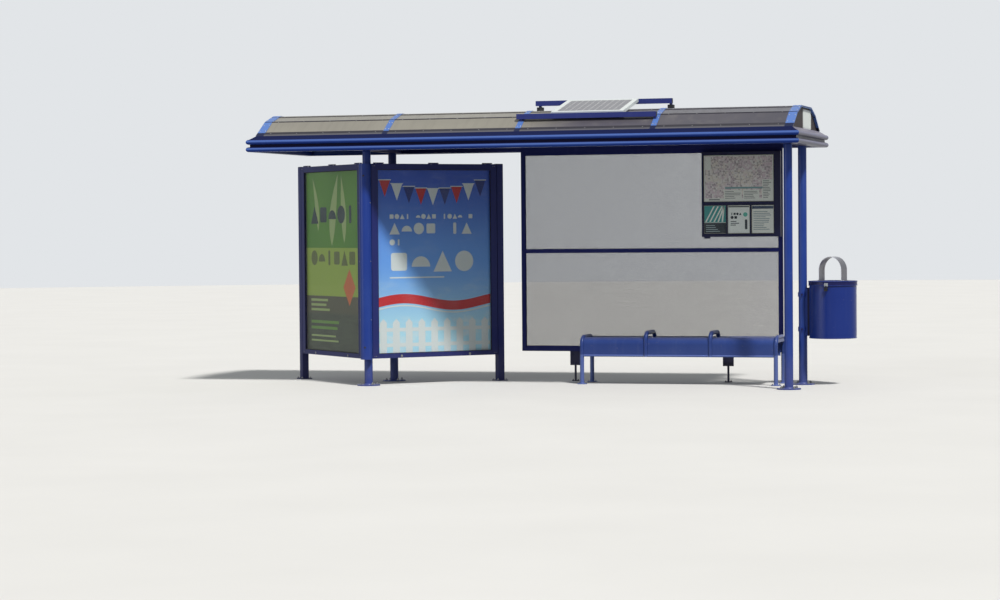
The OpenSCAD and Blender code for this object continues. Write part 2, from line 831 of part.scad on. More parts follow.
// Tray of a case with the fixed halves of its hinges
module case_body(side) {
    length = end_post_x - case_x0;
    color(dark_blue) at_case(side) {
        difference() {
            translate([case_x0, case_y0, case_z]) cube([length, case_t, door_h]);
            translate([case_x0 + case_wall, case_y0 - cut, case_z + case_wall])
                cube([length - 2 * case_wall, case_t - case_wall + cut, door_h - 2 * case_wall]);
        }
        for (z = [case_z + 0.14 * door_h, case_top - 0.14 * door_h]) difference() {
            translate([0, -15, z]) cube([case_x0 + cut, 30, 40]);
            translate([0, 0, z - cut]) cylinder(d = post_d, h = 40 + 2 * cut);
        }
        for (x = hinge_xs) fixed_hinge(x);
    }
}

// Pin and outer knuckles of a hinge, on a leaf over the case's top
module fixed_hinge(x) {
    end_len = 20;
    leaf = 3;
    translate([x, hinge_y, hinge_z]) rotate([0, 90, 0]) cylinder(d = pin_d, h = hinge_len, center = true);
    for (d = [-1, 1]) translate([x + d * (hinge_len - end_len) / 2, hinge_y, hinge_z]) {
        rotate([0, 90, 0]) cylinder(d = knuckle_d, h = end_len, center = true);
        translate([-end_len / 2, 0, knuckle_d / 2 - leaf])
            cube([end_len, case_y0 + 14 - hinge_y, leaf]);
        translate([-end_len / 2, case_y0 - hinge_y, case_top - hinge_z])
            cube([end_len, 14, hinge_z - case_top + knuckle_d / 2]);
    }
}

// Four bars of a door round its pane, with the moving knuckles on top
module door_frame(side) {
    pane_y = -door_face + 8;
    inner = hinge_len - 44;
    color(dark_blue) at_case(side) difference() {
        union() {
            difference() {
                translate([door_x0, -door_face, case_z]) cube([door_w, door_t, door_h]);
                translate([door_x0 + door_stile, -door_face - cut, case_z + door_bottom])
                    cube([poster_w, door_t + 2 * cut, poster_h]);
            }
            for (x = hinge_xs) translate([x, hinge_y, hinge_z]) {
                rotate([0, 90, 0]) cylinder(d = knuckle_d, h = inner, center = true);
                translate([-inner / 2, -4, -knuckle_d / 2 - 1 - cut])
                    cube([inner, 8, knuckle_d / 2 + cut]);
            }
        }
        for (x = hinge_xs) translate([x, hinge_y, hinge_z]) rotate([0, 90, 0])
            cylinder(d = pin_d + 2 * seat_gap, h = inner + 2 * cut, center = true);
    }
}

module door_pane(side) {
    pane_t = 4;
    color([0.8, 0.85, 0.9, 0.3]) at_case(side)
        translate([door_x0 + door_stile, hinge_y - pane_t / 2, case_z + door_bottom])
            cube([poster_w, pane_t, poster_h]);
}

// Printed sheet that closes the front of a case
module poster(side, ink) {
    color(ink) at_case(side) translate([case_x0 + case_wall, case_y0 + 1, case_z + case_wall])
        cube([end_post_x - case_x0 - 2 * case_wall, 2, door_h - 2 * case_wall]);
}

module left_case() { case_body(-1); }
module right_case() { case_body(1); }
module left_poster() { poster(-1, [0.5, 0.65, 0.3]); }
module right_poster() { poster(1, [0.3, 0.5, 0.8]); }
module left_door_frame() { door_frame(-1); }
module right_door_frame() { door_frame(1); }
module left_door_pane() { door_pane(-1); }
module right_door_pane() { door_pane(1); }

post(left_x, 0);  // front_left_post
post(right_x, 0);  // front_right_post
post(left_x, post_pitch_y);  // rear_left_post
post(right_x, post_pitch_y);  // rear_right_post
front_fascia();
rear_fascia();
left_fascia();
right_fascia();
cross_beams();
screen_header();
end_ribs();
middle_ribs();
roof_panel(0);  // roof_panel_1
roof_panel(1);  // roof_panel_2
roof_panel(2);  // roof_panel_3
roof_panel(3);  // roof_panel_4
glazing_bars();
purlins();
gable_ends();
screen_stiles();
screen_rails();
screen_upper_sheet();
screen_lower_sheet();
screen_feet();
info_case();
info_sheets();
bench_seats();
bench_frame(bench_x0);  // bench_left_frame
bench_frame(bench_x1);  // bench_right_frame
bench_arms();
bench_rails();
bin_body();
bin_lid();
bin_bracket();
bin_strap();
solar_rails();
solar_panel();
corner_column();
case_end_posts();
left_case();
right_case();
left_poster();
right_poster();
left_door_frame();
right_door_frame();
left_door_pane();
right_door_pane();
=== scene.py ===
"""Bus shelter: finishes, small fittings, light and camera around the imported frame. Metres, +Z up"""
import math
import random
from functools import reduce
from itertools import product

import bmesh
import bpy
from mathutils import Matrix, Vector


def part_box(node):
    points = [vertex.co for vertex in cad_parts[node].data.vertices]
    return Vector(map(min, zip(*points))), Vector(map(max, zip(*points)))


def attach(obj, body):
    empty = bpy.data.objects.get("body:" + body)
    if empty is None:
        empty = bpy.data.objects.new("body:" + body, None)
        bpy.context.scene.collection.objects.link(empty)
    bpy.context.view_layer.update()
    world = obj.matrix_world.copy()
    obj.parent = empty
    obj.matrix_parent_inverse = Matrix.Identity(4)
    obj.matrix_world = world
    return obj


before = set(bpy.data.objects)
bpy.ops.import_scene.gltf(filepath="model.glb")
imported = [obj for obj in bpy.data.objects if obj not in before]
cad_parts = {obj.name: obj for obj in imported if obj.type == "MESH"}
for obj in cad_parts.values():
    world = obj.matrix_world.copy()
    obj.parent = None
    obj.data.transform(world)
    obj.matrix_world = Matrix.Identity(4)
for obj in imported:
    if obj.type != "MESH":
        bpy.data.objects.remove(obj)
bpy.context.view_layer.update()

TURN = 2 * math.pi
SIDES = (-1, 1)
CORNERS = ((1, 1), (-1, 1), (-1, -1), (1, -1))

# Colours that several finishes share, in steps of 0 to 255
FRAME_BLUE = (31, 60, 144)
FADED_BLUE = (56, 88, 162)
# Near black blue of dark joints and bands on the roof, and of painted shade on the sloping top of the
# roof frame
JOINT_AND_SHADE_BLUE = (4, 9, 50)


def linear(colour, times=1.0, plus=0.0):
    """Linear colour of one in steps of 0 to 255, made darker or paler"""
    shares = [step / 255 for step in colour]
    parts = [share / 12.92 if share <= 0.04045 else ((share + 0.055) / 1.055) ** 2.4 for share in shares]
    return (*(times * part + plus for part in parts), 1.0)


# Shader trees

class Wires:
    """One shader tree, with short words for the nodes that this shelter uses"""

    def __init__(self, tree, ends=None, made=None):
        """ends are the inputs that the tree leads to, and made is what it belongs to"""
        self.tree = tree
        self.ends = ends
        self.made = made

    def feed(self, socket, value):
        """Links a socket or sets its plain value; three steps of 0 to 255 make a colour"""
        if isinstance(value, bpy.types.NodeSocket):
            self.tree.links.new(value, socket)
        elif socket.type == "RGBA" and len(value) == 3:
            socket.default_value = linear(value)
        else:
            socket.default_value = value

    def add(self, kind, feeds=None, **settings):
        """Adds a node, with its settings and what feeds its inputs, and gives its outputs"""
        node = self.tree.nodes.new("ShaderNode" + kind)
        for name, value in settings.items():
            setattr(node, name, value)
        for key, value in (feeds or {}).items():
            self.feed(node.inputs[key], value)
        return node.outputs

    def place(self, tree, **feeds):
        """Places a shader group"""
        return self.add("Group", feeds, node_tree=tree)

    def give(self, **feeds):
        """Feeds the inputs that the tree leads to, with _ for each space in their names"""
        for label, value in feeds.items():
            self.feed(self.ends[label.replace("_", " ")], value)
        return self.made

    def math(self, operation, a, b=0.5, clamp=False):
        return self.add("Math", {0: a, 1: b}, operation=operation, use_clamp=clamp)[0]

    def times(self, *factors):
        """Product of several masks"""
        return reduce(lambda a, b: self.math("MULTIPLY", a, b), factors)

    def plus(self, *parts):
        """Sum of several masks, kept between 0 and 1"""
        return reduce(lambda a, b: self.math("ADD", a, b, True), parts)

    def mix(self, mask, a, b):
        return self.add("Mix", {0: mask, 6: a, 7: b}, data_type="RGBA")[2]

    def lay(self, colour, *layers):
        """Lays further colours over a first one, each where its mask says"""
        for mask, second in layers:
            colour = self.mix(mask, colour, second)
        return colour

    def step(self, value, start, end, top=1.0):
        """Smooth step from 0 at start to its top at end"""
        feeds = {"Value": value, "From Min": start, "From Max": end, "To Max": top}
        return self.add("MapRange", feeds, interpolation_type="SMOOTHSTEP")[0]

    def band(self, value, start, end, edge):
        """1 between start and end, with soft edges"""
        rise = self.step(value, start - edge, start + edge)
        return self.times(rise, self.step(value, end + edge, end - edge))

    def where(self):
        """Place on the object, in metres"""
        return self.add("TexCoord")["Object"]

    def xyz(self, vector):
        return self.add("SeparateXYZ", {0: vector})

    def along(self, axis):
        """Place on the object along one axis"""
        return self.xyz(self.where())[axis]

    def faces(self, direction):
        """How far the surface faces a direction"""
        normal = self.add("TexCoord")["Normal"]
        return self.add("VectorMath", {0: normal, 1: direction}, operation="DOT_PRODUCT")["Value"]

    def stretch(self, vector, by):
        return self.add("VectorMath", {0: vector, 1: by}, operation="MULTIPLY")[0]

    def noise(self, scale, detail=3.0, rough=0.5, by=None, place=None):
        """Cloudy value over the object, finer along an axis whose place is multiplied by more"""
        place = self.where() if place is None else place
        place = place if by is None else self.stretch(place, by)
        feeds = {"Vector": place, "Scale": scale, "Detail": detail, "Roughness": rough}
        return self.add("TexNoise", feeds)[0]

    def cells(self, scale, uneven=1.0, **settings):
        """Broken pattern: its distances and the cells' own colours"""
        feeds = {"Vector": self.where(), "Scale": scale, "Randomness": uneven}
        return self.add("TexVoronoi", feeds, **settings)

    def tooth(self, rough, scale=120.0):
        """Roughness of print, with the fine tooth of its sheet"""
        return self.plus(rough, self.times(self.noise(scale, 1.0), 0.12))

    def shows(self, direction):
        """1 for camera rays, and towards the backdrop for those that metal and glass send on"""
        path = self.add("LightPath")
        level = self.add("VectorMath", {0: direction}, operation="NORMALIZE")[0]
        behind = self.step(self.xyz(level)["Y"], 0.74, 0.92)
        first = self.math("LESS_THAN", path["Diffuse Depth"], 0.5)
        sent_on = self.plus(path["Is Glossy Ray"], path["Is Transmission Ray"])
        return self.plus(path["Is Camera Ray"], self.times(sent_on, behind, first))

    def bump(self, height, distance, strength=1.0):
        return self.add("Bump", {"Height": height, "Distance": distance, "Strength": strength})[0]


def group(name, takes, gives):
    """New shader group, with the names of its sockets by their kind: its wires and what it takes"""
    tree = bpy.data.node_groups.new(name, "ShaderNodeTree")
    for side, sockets in (("INPUT", takes), ("OUTPUT", gives)):
        for kind, labels in sockets.items():
            for label in labels.split():
                tree.interface.new_socket(label, in_out=side, socket_type="NodeSocket" + kind)
    taken = tree.nodes.new("NodeGroupInput").outputs
    return Wires(tree, tree.nodes.new("NodeGroupOutput").inputs, tree), taken


def weathered_group():
    """Paint in the open: patches bleached by the sun, rain streaks, dust, splashes at the foot"""
    takes = {"Color": "Paint Faded", "Float": "Fade Dirt Gloss"}
    w, taken = group("weathered", takes, {"Color": "Color", "Float": "Roughness Height"})
    patches = w.step(w.noise(1.6, 4.0, 0.6), 0.40, 0.72)
    streaks = w.step(w.noise(1.0, by=(24.0, 24.0, 1.3)), 0.50, 0.78)
    grain = w.noise(70.0, 2.0)
    chips = w.step(w.noise(26.0, 3.0, 0.7), 0.69, 0.72)
    upward = w.step(w.faces((0, 0, 1)), 0.45, 0.95, 0.55)
    splash = w.times(w.step(w.along("Z"), 0.42, 0.02), w.noise(11.0, 4.0))
    faded = w.times(w.plus(w.times(patches, 0.75), w.times(streaks, 0.45)), taken["Fade"])
    dusty = w.plus(upward, splash, w.times(streaks, 0.10))
    dusty = w.times(dusty, taken["Dirt"], w.math("ADD", grain, 0.35))
    dust = (150, 142, 128)
    chipped = w.times(chips, taken["Dirt"], 0.7)
    rough = w.plus(taken["Gloss"], w.times(dusty, 0.6), w.times(faded, 0.25), w.times(grain, 0.10))
    relief = w.math("ADD", w.times(w.noise(340.0, 1.0), 0.35), w.times(grain, 0.25))
    return w.give(
        Color=w.lay(taken["Paint"], (faded, taken["Faded"]), (chipped, dust), (dusty, dust)),
        Roughness=rough,
        Height=w.math("SUBTRACT", relief, chips),
    )


def perforation_group():
    """Round holes in staggered rows on the upright plane of x and z: 1 inside a hole"""
    w, taken = group("perforation", {"Float": "Pitch Hole"}, {"Float": "Holes"})
    row_share = math.sqrt(0.75)
    rows = w.math("DIVIDE", w.along("Z"), w.times(taken["Pitch"], row_share))
    shift = w.times(w.math("MODULO", w.math("FLOOR", rows), 2.0), 0.5)
    columns = w.math("ADD", w.math("DIVIDE", w.along("X"), taken["Pitch"]), shift)
    aside = w.math("SUBTRACT", w.math("FRACT", columns), 0.5)
    above = w.times(w.math("SUBTRACT", w.math("FRACT", rows), 0.5), row_share)
    reach = w.math("SQRT", w.math("ADD", w.times(aside, aside), w.times(above, above)))
    radius = w.math("DIVIDE", taken["Hole"], w.times(taken["Pitch"], 2.0))
    return w.give(Holes=w.math("LESS_THAN", reach, radius))


def sheet_wear_group():
    """Clear or smoked sheet in the open: wiped haze, fine scratches and dust that gathers in patches"""
    w, taken = group("sheet wear", {"Float": "Grain"}, {"Float": "Haze Scratches Dust"})
    grain = w.stretch(w.where(), taken["Grain"])
    return w.give(
        Haze=w.step(w.noise(2.2, 4.0, place=grain), 0.35, 0.75),
        Scratches=w.step(w.noise(3.0, 4.0, 0.7, (3.0, 60.0, 8.0), grain), 0.60, 0.66),
        Dust=w.step(w.noise(9.0, 5.0, 0.65, place=grain), 0.48, 0.74),
    )


WEATHERED = weathered_group()
PERFORATION = perforation_group()
SHEET_WEAR = sheet_wear_group()


# Finishes

def finish(name, **plain):
    """Wires of a new material, which lead to the inputs of its Principled shader"""
    made = bpy.data.materials.new(name)
    made.use_nodes = True
    w = Wires(made.node_tree, made.node_tree.nodes["Principled BSDF"].inputs, made)
    w.give(**plain)
    return w


def painted(name, paint, faded, *spots, fade=0.4, dirt=0.3, gloss=0.28, coat=0.15, shine=0.28):
    """Painted metal; each spot adds a colour where its mask says"""
    w = finish(name, Coat_Weight=coat, Coat_Roughness=0.12, Specular_IOR_Level=shine)
    layer = w.place(WEATHERED, Paint=paint, Faded=faded, Fade=fade, Dirt=dirt, Gloss=gloss)
    return w.give(
        Base_Color=w.lay(layer["Color"], *((mask(w), second) for mask, second in spots)),
        Roughness=layer["Roughness"],
        Normal=w.bump(layer["Height"], 0.0006),
    )


def level_mask(start, end, share):
    """Mask of what lies above a level, or below it where the levels fall"""
    return lambda w: w.step(w.along("Z"), start, end, share)


def recess_shade_mask(w):
    """Painted shade in the recess between the two beads of the roof frame, on the outer side"""
    between = w.band(w.along("Z"), BEAD_LOW + 0.014, BEAD_HIGH - 0.014, 0.006)
    return w.times(between, w.step(w.faces(w.where()), 0.05, 0.2), 0.96)


def bead_highlight_mask(w):
    """Painted highlight on the upper street side of the two beads"""
    beads = w.plus(*(w.band(w.along("Z"), z - 0.008, z + 0.016, 0.003) for z in (BEAD_LOW, BEAD_HIGH)))
    return w.times(beads, w.step(w.faces((0.22, -0.88, 0.42)), 0.74, 0.98), 0.85)


def seam_mask(w):
    """Dark joints across the ribs, in line with the seams of the sheets"""
    reach = w.math("ABSOLUTE", w.along("Y"))
    seams = w.plus(*(w.band(reach, seam - 0.006, seam + 0.006, 0.002) for seam in SCREW_REACHES[:2]))
    return w.times(seams, 0.85)


def clamp_mask(w):
    """Bands of the bin's bracket, painted like the post that they clamp"""
    edge = middle("rear_right_post").x + POST_R
    return w.step(w.along("X"), edge + 0.010, edge + 0.006)


def metal(name, colour, rough, brush=None):
    """Bare metal, galvanised with spangles or brushed along one axis"""
    w = finish(name, Metallic=1.0)
    grain = w.noise(1.0, 3.0, 0.7, brush) if brush else w.xyz(w.cells(130.0)["Color"])["X"]
    stain = w.step(w.noise(18.0, 4.0), 0.45, 0.8)
    shade = w.mix(grain, linear(colour, 0.78), colour)
    return w.give(
        Base_Color=w.mix(w.times(stain, 0.35), shade, (120, 112, 100)),
        Roughness=w.plus(rough, w.times(grain, 0.14), w.times(stain, 0.2)),
        Normal=w.bump(grain, 0.0002),
    )


def rubber():
    """Black rubber and moulded plastic with a fine grain and a grey bloom"""
    w = finish("black rubber")
    bloom = w.step(w.noise(24.0, 4.0), 0.4, 0.8)
    return w.give(
        Base_Color=w.mix(w.times(bloom, 0.35), (24, 24, 28), (112, 112, 114)),
        Roughness=w.plus(0.6, w.times(bloom, 0.2)),
        Normal=w.bump(w.noise(500.0, 1.0), 0.0003),
    )


def ink(name, colour):
    """Flat printed colour, a little bleached in patches"""
    w = finish(name, Coat_Weight=0.1)
    bleached = w.mix(w.step(w.noise(3.5), 0.4, 0.8, 0.5), colour, linear(colour, 0.85, 0.08))
    return w.give(Base_Color=bleached, Roughness=w.tooth(0.42, 160.0))


def sky_print():
    """Blue sky that pales downwards, with low clouds"""
    w = finish("sky print", Coat_Weight=0.15)
    height = w.along("Z")
    wisps = w.step(w.noise(3.2, 6.0, 0.62, (1.0, 1.0, 2.6)), 0.50, 0.72)
    cloud = w.times(wisps, w.plus(w.step(height, 1.02, 0.45), 0.07))
    sky = w.lay(
        (54, 92, 204),
        (w.step(height, 1.95, 1.05), (112, 168, 248)),
        (w.step(height, 1.15, 0.42), (184, 230, 250)),
        (w.times(cloud, 0.85), (222, 234, 242)),
    )
    return w.give(Base_Color=sky, Roughness=w.tooth(0.36))


def meadow_print():
    """Green that turns to lime and then to an earthy foot, as plain stripes of colour"""
    w = finish("meadow print", Coat_Weight=0.15)
    height = w.along("Z")
    ground = w.mix(w.noise(3.0, 4.0, by=(2.0, 2.0, 14.0)), (34, 46, 28), (84, 94, 74))
    colour = w.lay(
        (66, 130, 12),
        (w.noise(2.4, by=(1.0, 1.0, 0.5)), (98, 154, 20)),
        (w.step(height, 1.253, 1.247), (164, 188, 66)),
        (w.step(height, 0.803, 0.797), (84, 82, 60)),
        (w.step(height, 0.66, 0.62), ground),
    )
    return w.give(Base_Color=colour, Roughness=w.tooth(0.36))


def street_plan_print():
    """Invented street plan: square blocks in near tints between pale lanes, with a few broader roads"""
    w = finish("street plan print")
    block = w.cells(58.0, 0.6, distance="CHEBYCHEV")
    chance = w.xyz(block["Color"])
    road = w.cells(11.0, feature="DISTANCE_TO_EDGE")["Distance"]
    plan = w.lay(
        (230, 208, 214),
        (w.step(w.noise(9.0, 2.0), 0.42, 0.60), (244, 232, 222)),
        (w.step(chance["X"], 0.70, 0.74, 0.45), (132, 112, 122)),
        (w.step(chance["Y"], 0.86, 0.90, 0.8), (252, 248, 240)),
        (w.step(block["Distance"], 0.40, 0.50, 0.7), (250, 240, 238)),
        (w.step(road, 0.020, 0.012, 0.6), (150, 126, 130)),
    )
    return w.give(Base_Color=plan, Roughness=w.plus(0.5, w.times(chance["Z"], 0.1)))


def smoked_sheet():
    """Smoked roof sheet, bleached and dusty, with runs down its slopes; paler to the left as painted
    reflection, and darker on faces that point down as painted shade
    """
    w = finish("smoked sheet", Coat_Weight=0.3, Coat_Roughness=0.18)
    wear = w.place(SHEET_WEAR, Grain=0.9)
    runs = w.step(w.noise(1.0, by=(26.0, 1.6, 1.6)), 0.42, 0.75, 0.14)
    tone = w.step(w.noise(1.4, 2.0, by=(0.5, 1.0, 1.0)), 0.35, 0.65, 0.5)
    # Painted reflection: the sheet turns from paler on the left to darker on the right
    right = w.step(w.along("X"), -0.25, 0.45)
    colour = w.lay(
        w.mix(right, (141, 138, 127), (72, 71, 82)),
        (tone, w.mix(right, (128, 125, 118), (93, 90, 96))),
        (w.times(wear["Haze"], 0.3), w.mix(right, (143, 139, 131), (101, 98, 102))),
        (runs, (92, 88, 84)),
        (w.times(wear["Dust"], 0.15), (154, 150, 142)),
        # Painted shade on faces that point down
        (w.step(w.faces((0, 0, 1)), -0.2, -0.6), (58, 54, 60)),
    )
    return w.give(
        Base_Color=colour,
        Roughness=w.plus(0.28, w.times(wear["Haze"], 0.12), w.times(wear["Dust"], 0.25)),
        Normal=w.bump(w.noise(3.0, 2.0), 0.004, 0.4),
    )


def clear_pane():
    """Clear sheet of a door, hazed and scratched; rays that light what is behind it pass through"""
    tint = (248, 251, 251)
    w = finish("clear pane", Base_Color=tint, IOR=1.2, Transmission_Weight=1.0, Specular_IOR_Level=0.22)
    nodes = w.tree.nodes
    glass = nodes["Principled BSDF"].outputs[0]
    clear = w.add("BsdfTransparent", {0: tint})[0]
    path = w.add("LightPath")
    lights = w.plus(path["Is Shadow Ray"], path["Is Diffuse Ray"])
    surface = w.add("MixShader", {0: lights, 1: glass, 2: clear})[0]
    w.feed(nodes["Material Output"].inputs["Surface"], surface)
    wear = w.place(SHEET_WEAR, Grain=2.0)
    return w.give(
        Roughness=w.plus(0.015, w.times(wear["Haze"], 0.02), w.times(wear["Scratches"], 0.10)),
        Normal=w.bump(wear["Scratches"], 0.0002, 0.3),
    )


def perforated_sheet():
    """Dark painted sheet with small holes all over"""
    w = finish("perforated sheet")
    layer = w.place(WEATHERED, Paint=(34, 33, 50), Faded=(52, 50, 66), Fade=0.4, Dirt=0.2, Gloss=0.45)
    solid = w.math("SUBTRACT", 1.0, w.place(PERFORATION, Pitch=0.006, Hole=0.0044)[0])
    return w.give(Base_Color=layer["Color"], Roughness=layer["Roughness"], Alpha=solid)


def solar_cell():
    """Dark cell with faint crystal grain under glass"""
    w = finish("solar cell", Coat_Weight=0.5, Coat_Roughness=0.1)
    crystal = w.xyz(w.cells(90.0)["Color"])["X"]
    shade = w.mix(crystal, (84, 84, 92), (116, 114, 120))
    return w.give(Base_Color=shade, Roughness=w.plus(0.32, w.times(crystal, 0.15)))


def pale_floor():
    """Plain pale floor with a very faint mottle, which throws less light up at the shelter"""
    w = finish("pale floor", Roughness=0.85)
    pale = w.mix(w.noise(0.8), (214, 214, 212), (222, 222, 220))
    return w.give(Base_Color=w.mix(w.shows(w.where()), (148, 148, 146), pale))


# Places that the frame gives

def low(node):
    return Vector(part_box(node)[0])


def high(node):
    return Vector(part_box(node)[1])


def middle(node):
    return (low(node) + high(node)) / 2


def spread(start, end, count):
    """Evenly spaced values from start to end"""
    return [start + (end - start) * i / (count - 1) for i in range(count)]


def across(node, inset, count=2, axis=0):
    """Evenly spaced x along a node, or its y on axis 1, set in from its ends"""
    return spread(low(node)[axis] + inset, high(node)[axis] - inset, count)


# Names of like nodes
POSTS = "front_left_post front_right_post rear_left_post rear_right_post"
PANELS = "roof_panel_1 roof_panel_2 roof_panel_3 roof_panel_4"
SCREEN_SHEETS = "screen_upper_sheet screen_lower_sheet"
BENCH_FRAMES = "bench_left_frame bench_right_frame"

# Roof: the two beads of the frame, and the outer face of the sheets, whose slopes bend at two lines
BEAD_D = 0.044
BEAD_LOW = low("front_fascia").z + BEAD_D / 2
BEAD_HIGH = BEAD_LOW + 0.067
SPRING = low("end_ribs").z + 0.004
RIB_FOOT = SPRING + 0.026
SHEET_RISES = ((0, 0.191), (0.254, 0.191), (0.4645, 0.131), (0.7515, -0.0346))
SHEET_LINE = [(y, SPRING + rise) for y, rise in SHEET_RISES]
CAP_T = 0.004
BAR_T = 0.003
SCREW_REACHES = (0.2955, 0.4705, 0.6650)
RIB_W = 0.050
END_RIB_W = 0.075

# Posts with their base plates, and the foot plates of the cases, of the screen and of the bench
POST_R = 0.038
PLATE_T = 0.010
ANCHOR_R = 0.080
CASE_FOOT_T = 0.008
FOOT_T = 0.006

# Solar set: size of the panel and its rails, rise and run between the two rails
SOLAR_W, SOLAR_T = 0.660, 0.026
SOLAR_RAIL = 0.046
SOLAR_LIFT, SOLAR_RUN = 0.144, 0.646
SOLAR_TILT = math.atan2(SOLAR_LIFT, SOLAR_RUN)
SOLAR_D = (SOLAR_RUN - SOLAR_RAIL - SOLAR_T * math.sin(SOLAR_TILT) - 0.0006) / math.cos(SOLAR_TILT)

# Cases: door, opening, sheet and end post, in the frame of one case
DOOR_X = (0.016, 1.308)
OPENING_X = (0.078, 1.246)
OPENING_Z = (0.286, 1.963)
CASE_Z = (0.245, 2.015)
DOOR_FRONT = -0.061
PANE_FRONT = -0.052
SHEET_FRONT = -0.032
CASE_BACK = 0.050
SHEET_W = OPENING_X[1] - OPENING_X[0]
SHEET_H = OPENING_Z[1] - OPENING_Z[0]
END_POST_X = 1.3455
END_POST_Y = -0.0295

# Information case: from the frame, its larger sheet and the row of three
INFO_SHEET_W = 0.6494
MAP_H = 0.428
NOTICE_H = 0.262
NOTICE_GAP = 0.009
NOTICE_W = (INFO_SHEET_W - 2 * NOTICE_GAP) / 3

# Bin: its middle on the floor, and the radius of its lid
BIN = Vector((*middle("bin_lid").xy, 0))
LID_R = (high("bin_lid").x - low("bin_lid").x) / 2
MOUTH_R = 0.078

# Turns of a drawing in x and y: onto a face towards +x, and onto a front that faces -y
RIGHT_FACE = Matrix(((0, 0, 1, 0), (1, 0, 0, 0), (0, 1, 0, 0), (0, 0, 0, 1)))
FRONT_FACE = Matrix(((1, 0, 0, 0), (0, 0, -1, 0), (0, 1, 0, 0), (0, 0, 0, 1)))


def at(x, y, z):
    return Matrix.Translation((x, y, z))


def front(x, y, z):
    """Matrix with its x to the right, its y up and its z out of a front that faces -y"""
    return at(x, y, z) @ FRONT_FACE


def case_frame(side):
    """From the frame of one case to the scene: x along it from the corner post, y to its back"""
    half = math.sqrt(0.5)
    corner = middle("front_left_post")
    along = (side * half, -side * half, 0, corner.x)
    return Matrix((along, (half, half, 0, corner.y), (0, 0, 1, 0), (0, 0, 0, 1)))


def standing(place, normal):
    """Matrix that sets a fitting drawn on z = 0 on a surface at a place"""
    return at(*place) @ Vector(normal).to_track_quat("Z", "Y").to_matrix().to_4x4()


def on_roof(x, y, lift):
    """Matrix on the roof's sheets at a distance from its middle, raised along the slope's normal"""
    reach = abs(y)
    for (inner_y, inner_z), (outer_y, outer_z) in zip(SHEET_LINE, SHEET_LINE[1:]):
        if reach <= outer_y:
            break
    slope = (inner_z - outer_z) / (outer_y - inner_y)
    place = Vector((x, y, inner_z - (reach - inner_y) * slope))
    normal = Vector((0, math.copysign(slope, y), 1)).normalized()
    return standing(place + lift * normal, normal)


# Outlines

def disc(radius, centre=(0.0, 0.0), steps=28, share=1.0, start=0.0):
    """Outline of a disc, or of a share of it"""
    count = steps if share >= 1 else steps + 1
    angles = [start + share * TURN * i / steps for i in range(count)]
    return [(centre[0] + radius * math.cos(a), centre[1] + radius * math.sin(a)) for a in angles]


def oblong(width, height, radius=0.0, steps=5, centre=(0.0, 0.0)):
    """Outline of a rectangle, with round corners where a radius is given"""
    points = []
    for quarter, (sx, sy) in enumerate(CORNERS):
        corner = (centre[0] + sx * (width / 2 - radius), centre[1] + sy * (height / 2 - radius))
        points += disc(radius, corner, steps, 0.25, quarter * TURN / 4) if radius else [corner]
    return points


# Meshes

def row_of(bm, place, outline, z=0.0):
    """Vertices of an outline at a height"""
    return [bm.verts.new(place @ Vector((x, y, z))) for x, y in outline]


def wall(bm, lower, upper, tone=0):
    """Faces round between two rows of vertices; a row of one vertex is a pole"""
    for i in range(max(len(lower), len(upper))):
        places = ((lower, i), (lower, i + 1), (upper, i + 1), (upper, i))
        corners = list(dict.fromkeys(row[k % len(row)] for row, k in places))
        if len(corners) > 2:
            bm.faces.new(corners).material_index = tone


def lathe(bm, profile, place=Matrix(), steps=24, ring=False):
    """Turns (radius, height) points about z; a ring profile closes on itself"""
    rows = [row_of(bm, place, disc(radius, steps=steps if radius else 1), z) for radius, z in profile]
    for lower, upper in zip(rows, rows[1:] + rows[:1] if ring else rows[1:]):
        wall(bm, lower, upper)


def prism(bm, outline, depth, place=Matrix(), tone=0):
    """Closed plate: an outline of (x, y) points, thickened along z; tone picks its finish"""
    bottom = row_of(bm, place, outline)
    top = row_of(bm, place, outline, depth)
    for corners in (bottom[::-1], top):
        bm.faces.new(corners).material_index = tone
    wall(bm, bottom, top, tone)


def tube(bm, path, radius, steps=12):
    """Round bar along a path of points, with closed ends"""
    rows = []
    for i, point in enumerate(path):
        ahead = path[min(i + 1, len(path) - 1)] - path[max(i - 1, 0)]
        rows.append(row_of(bm, standing(point, ahead), disc(radius, steps=steps)))
    for lower, upper in zip(rows, rows[1:]):
        wall(bm, lower, upper)
    for corners in (rows[0][::-1], rows[-1]):
        bm.faces.new(corners)


def rim_of(bm, width, height, band, depth, place):
    """Four mitred bars round an opening of width by height"""
    inner = oblong(width, height)
    outer = oblong(width + 2 * band, height + 2 * band)
    for i in range(4):
        k = (i + 1) % 4
        prism(bm, [inner[i], inner[k], outer[k], outer[i]], depth, place)


# Parts of a bolt of thread 1: washer, chamfered nut and rounded end, as sides and profile
BOLT = (
    (20, ((0, 0), (1.05, 0), (1.05, 0.2), (0, 0.2))),
    (6, ((0, 0.2), (0.88, 0.2), (0.88, 0.95), (0.7568, 1.05), (0, 1.05))),
    (14, ((0, 1.05), (0.5, 1.05), (0.5, 1.48), (0.38, 1.6), (0, 1.6))),
)


def hex_bolt(bm, place, thread):
    for steps, profile in BOLT:
        lathe(bm, [(thread * r, thread * z) for r, z in profile], place, steps)


def dome_head(bm, place, radius, steps=14):
    """Low domed head of a screw or rivet, sunk a little at its foot"""
    dome = ((1, 0.12), (0.82, 0.36), (0.45, 0.52), (0, 0.56))
    foot = [(0, -0.0005), (radius, -0.0005)]
    lathe(bm, foot + [(radius * r, radius * z) for r, z in dome], place, steps)


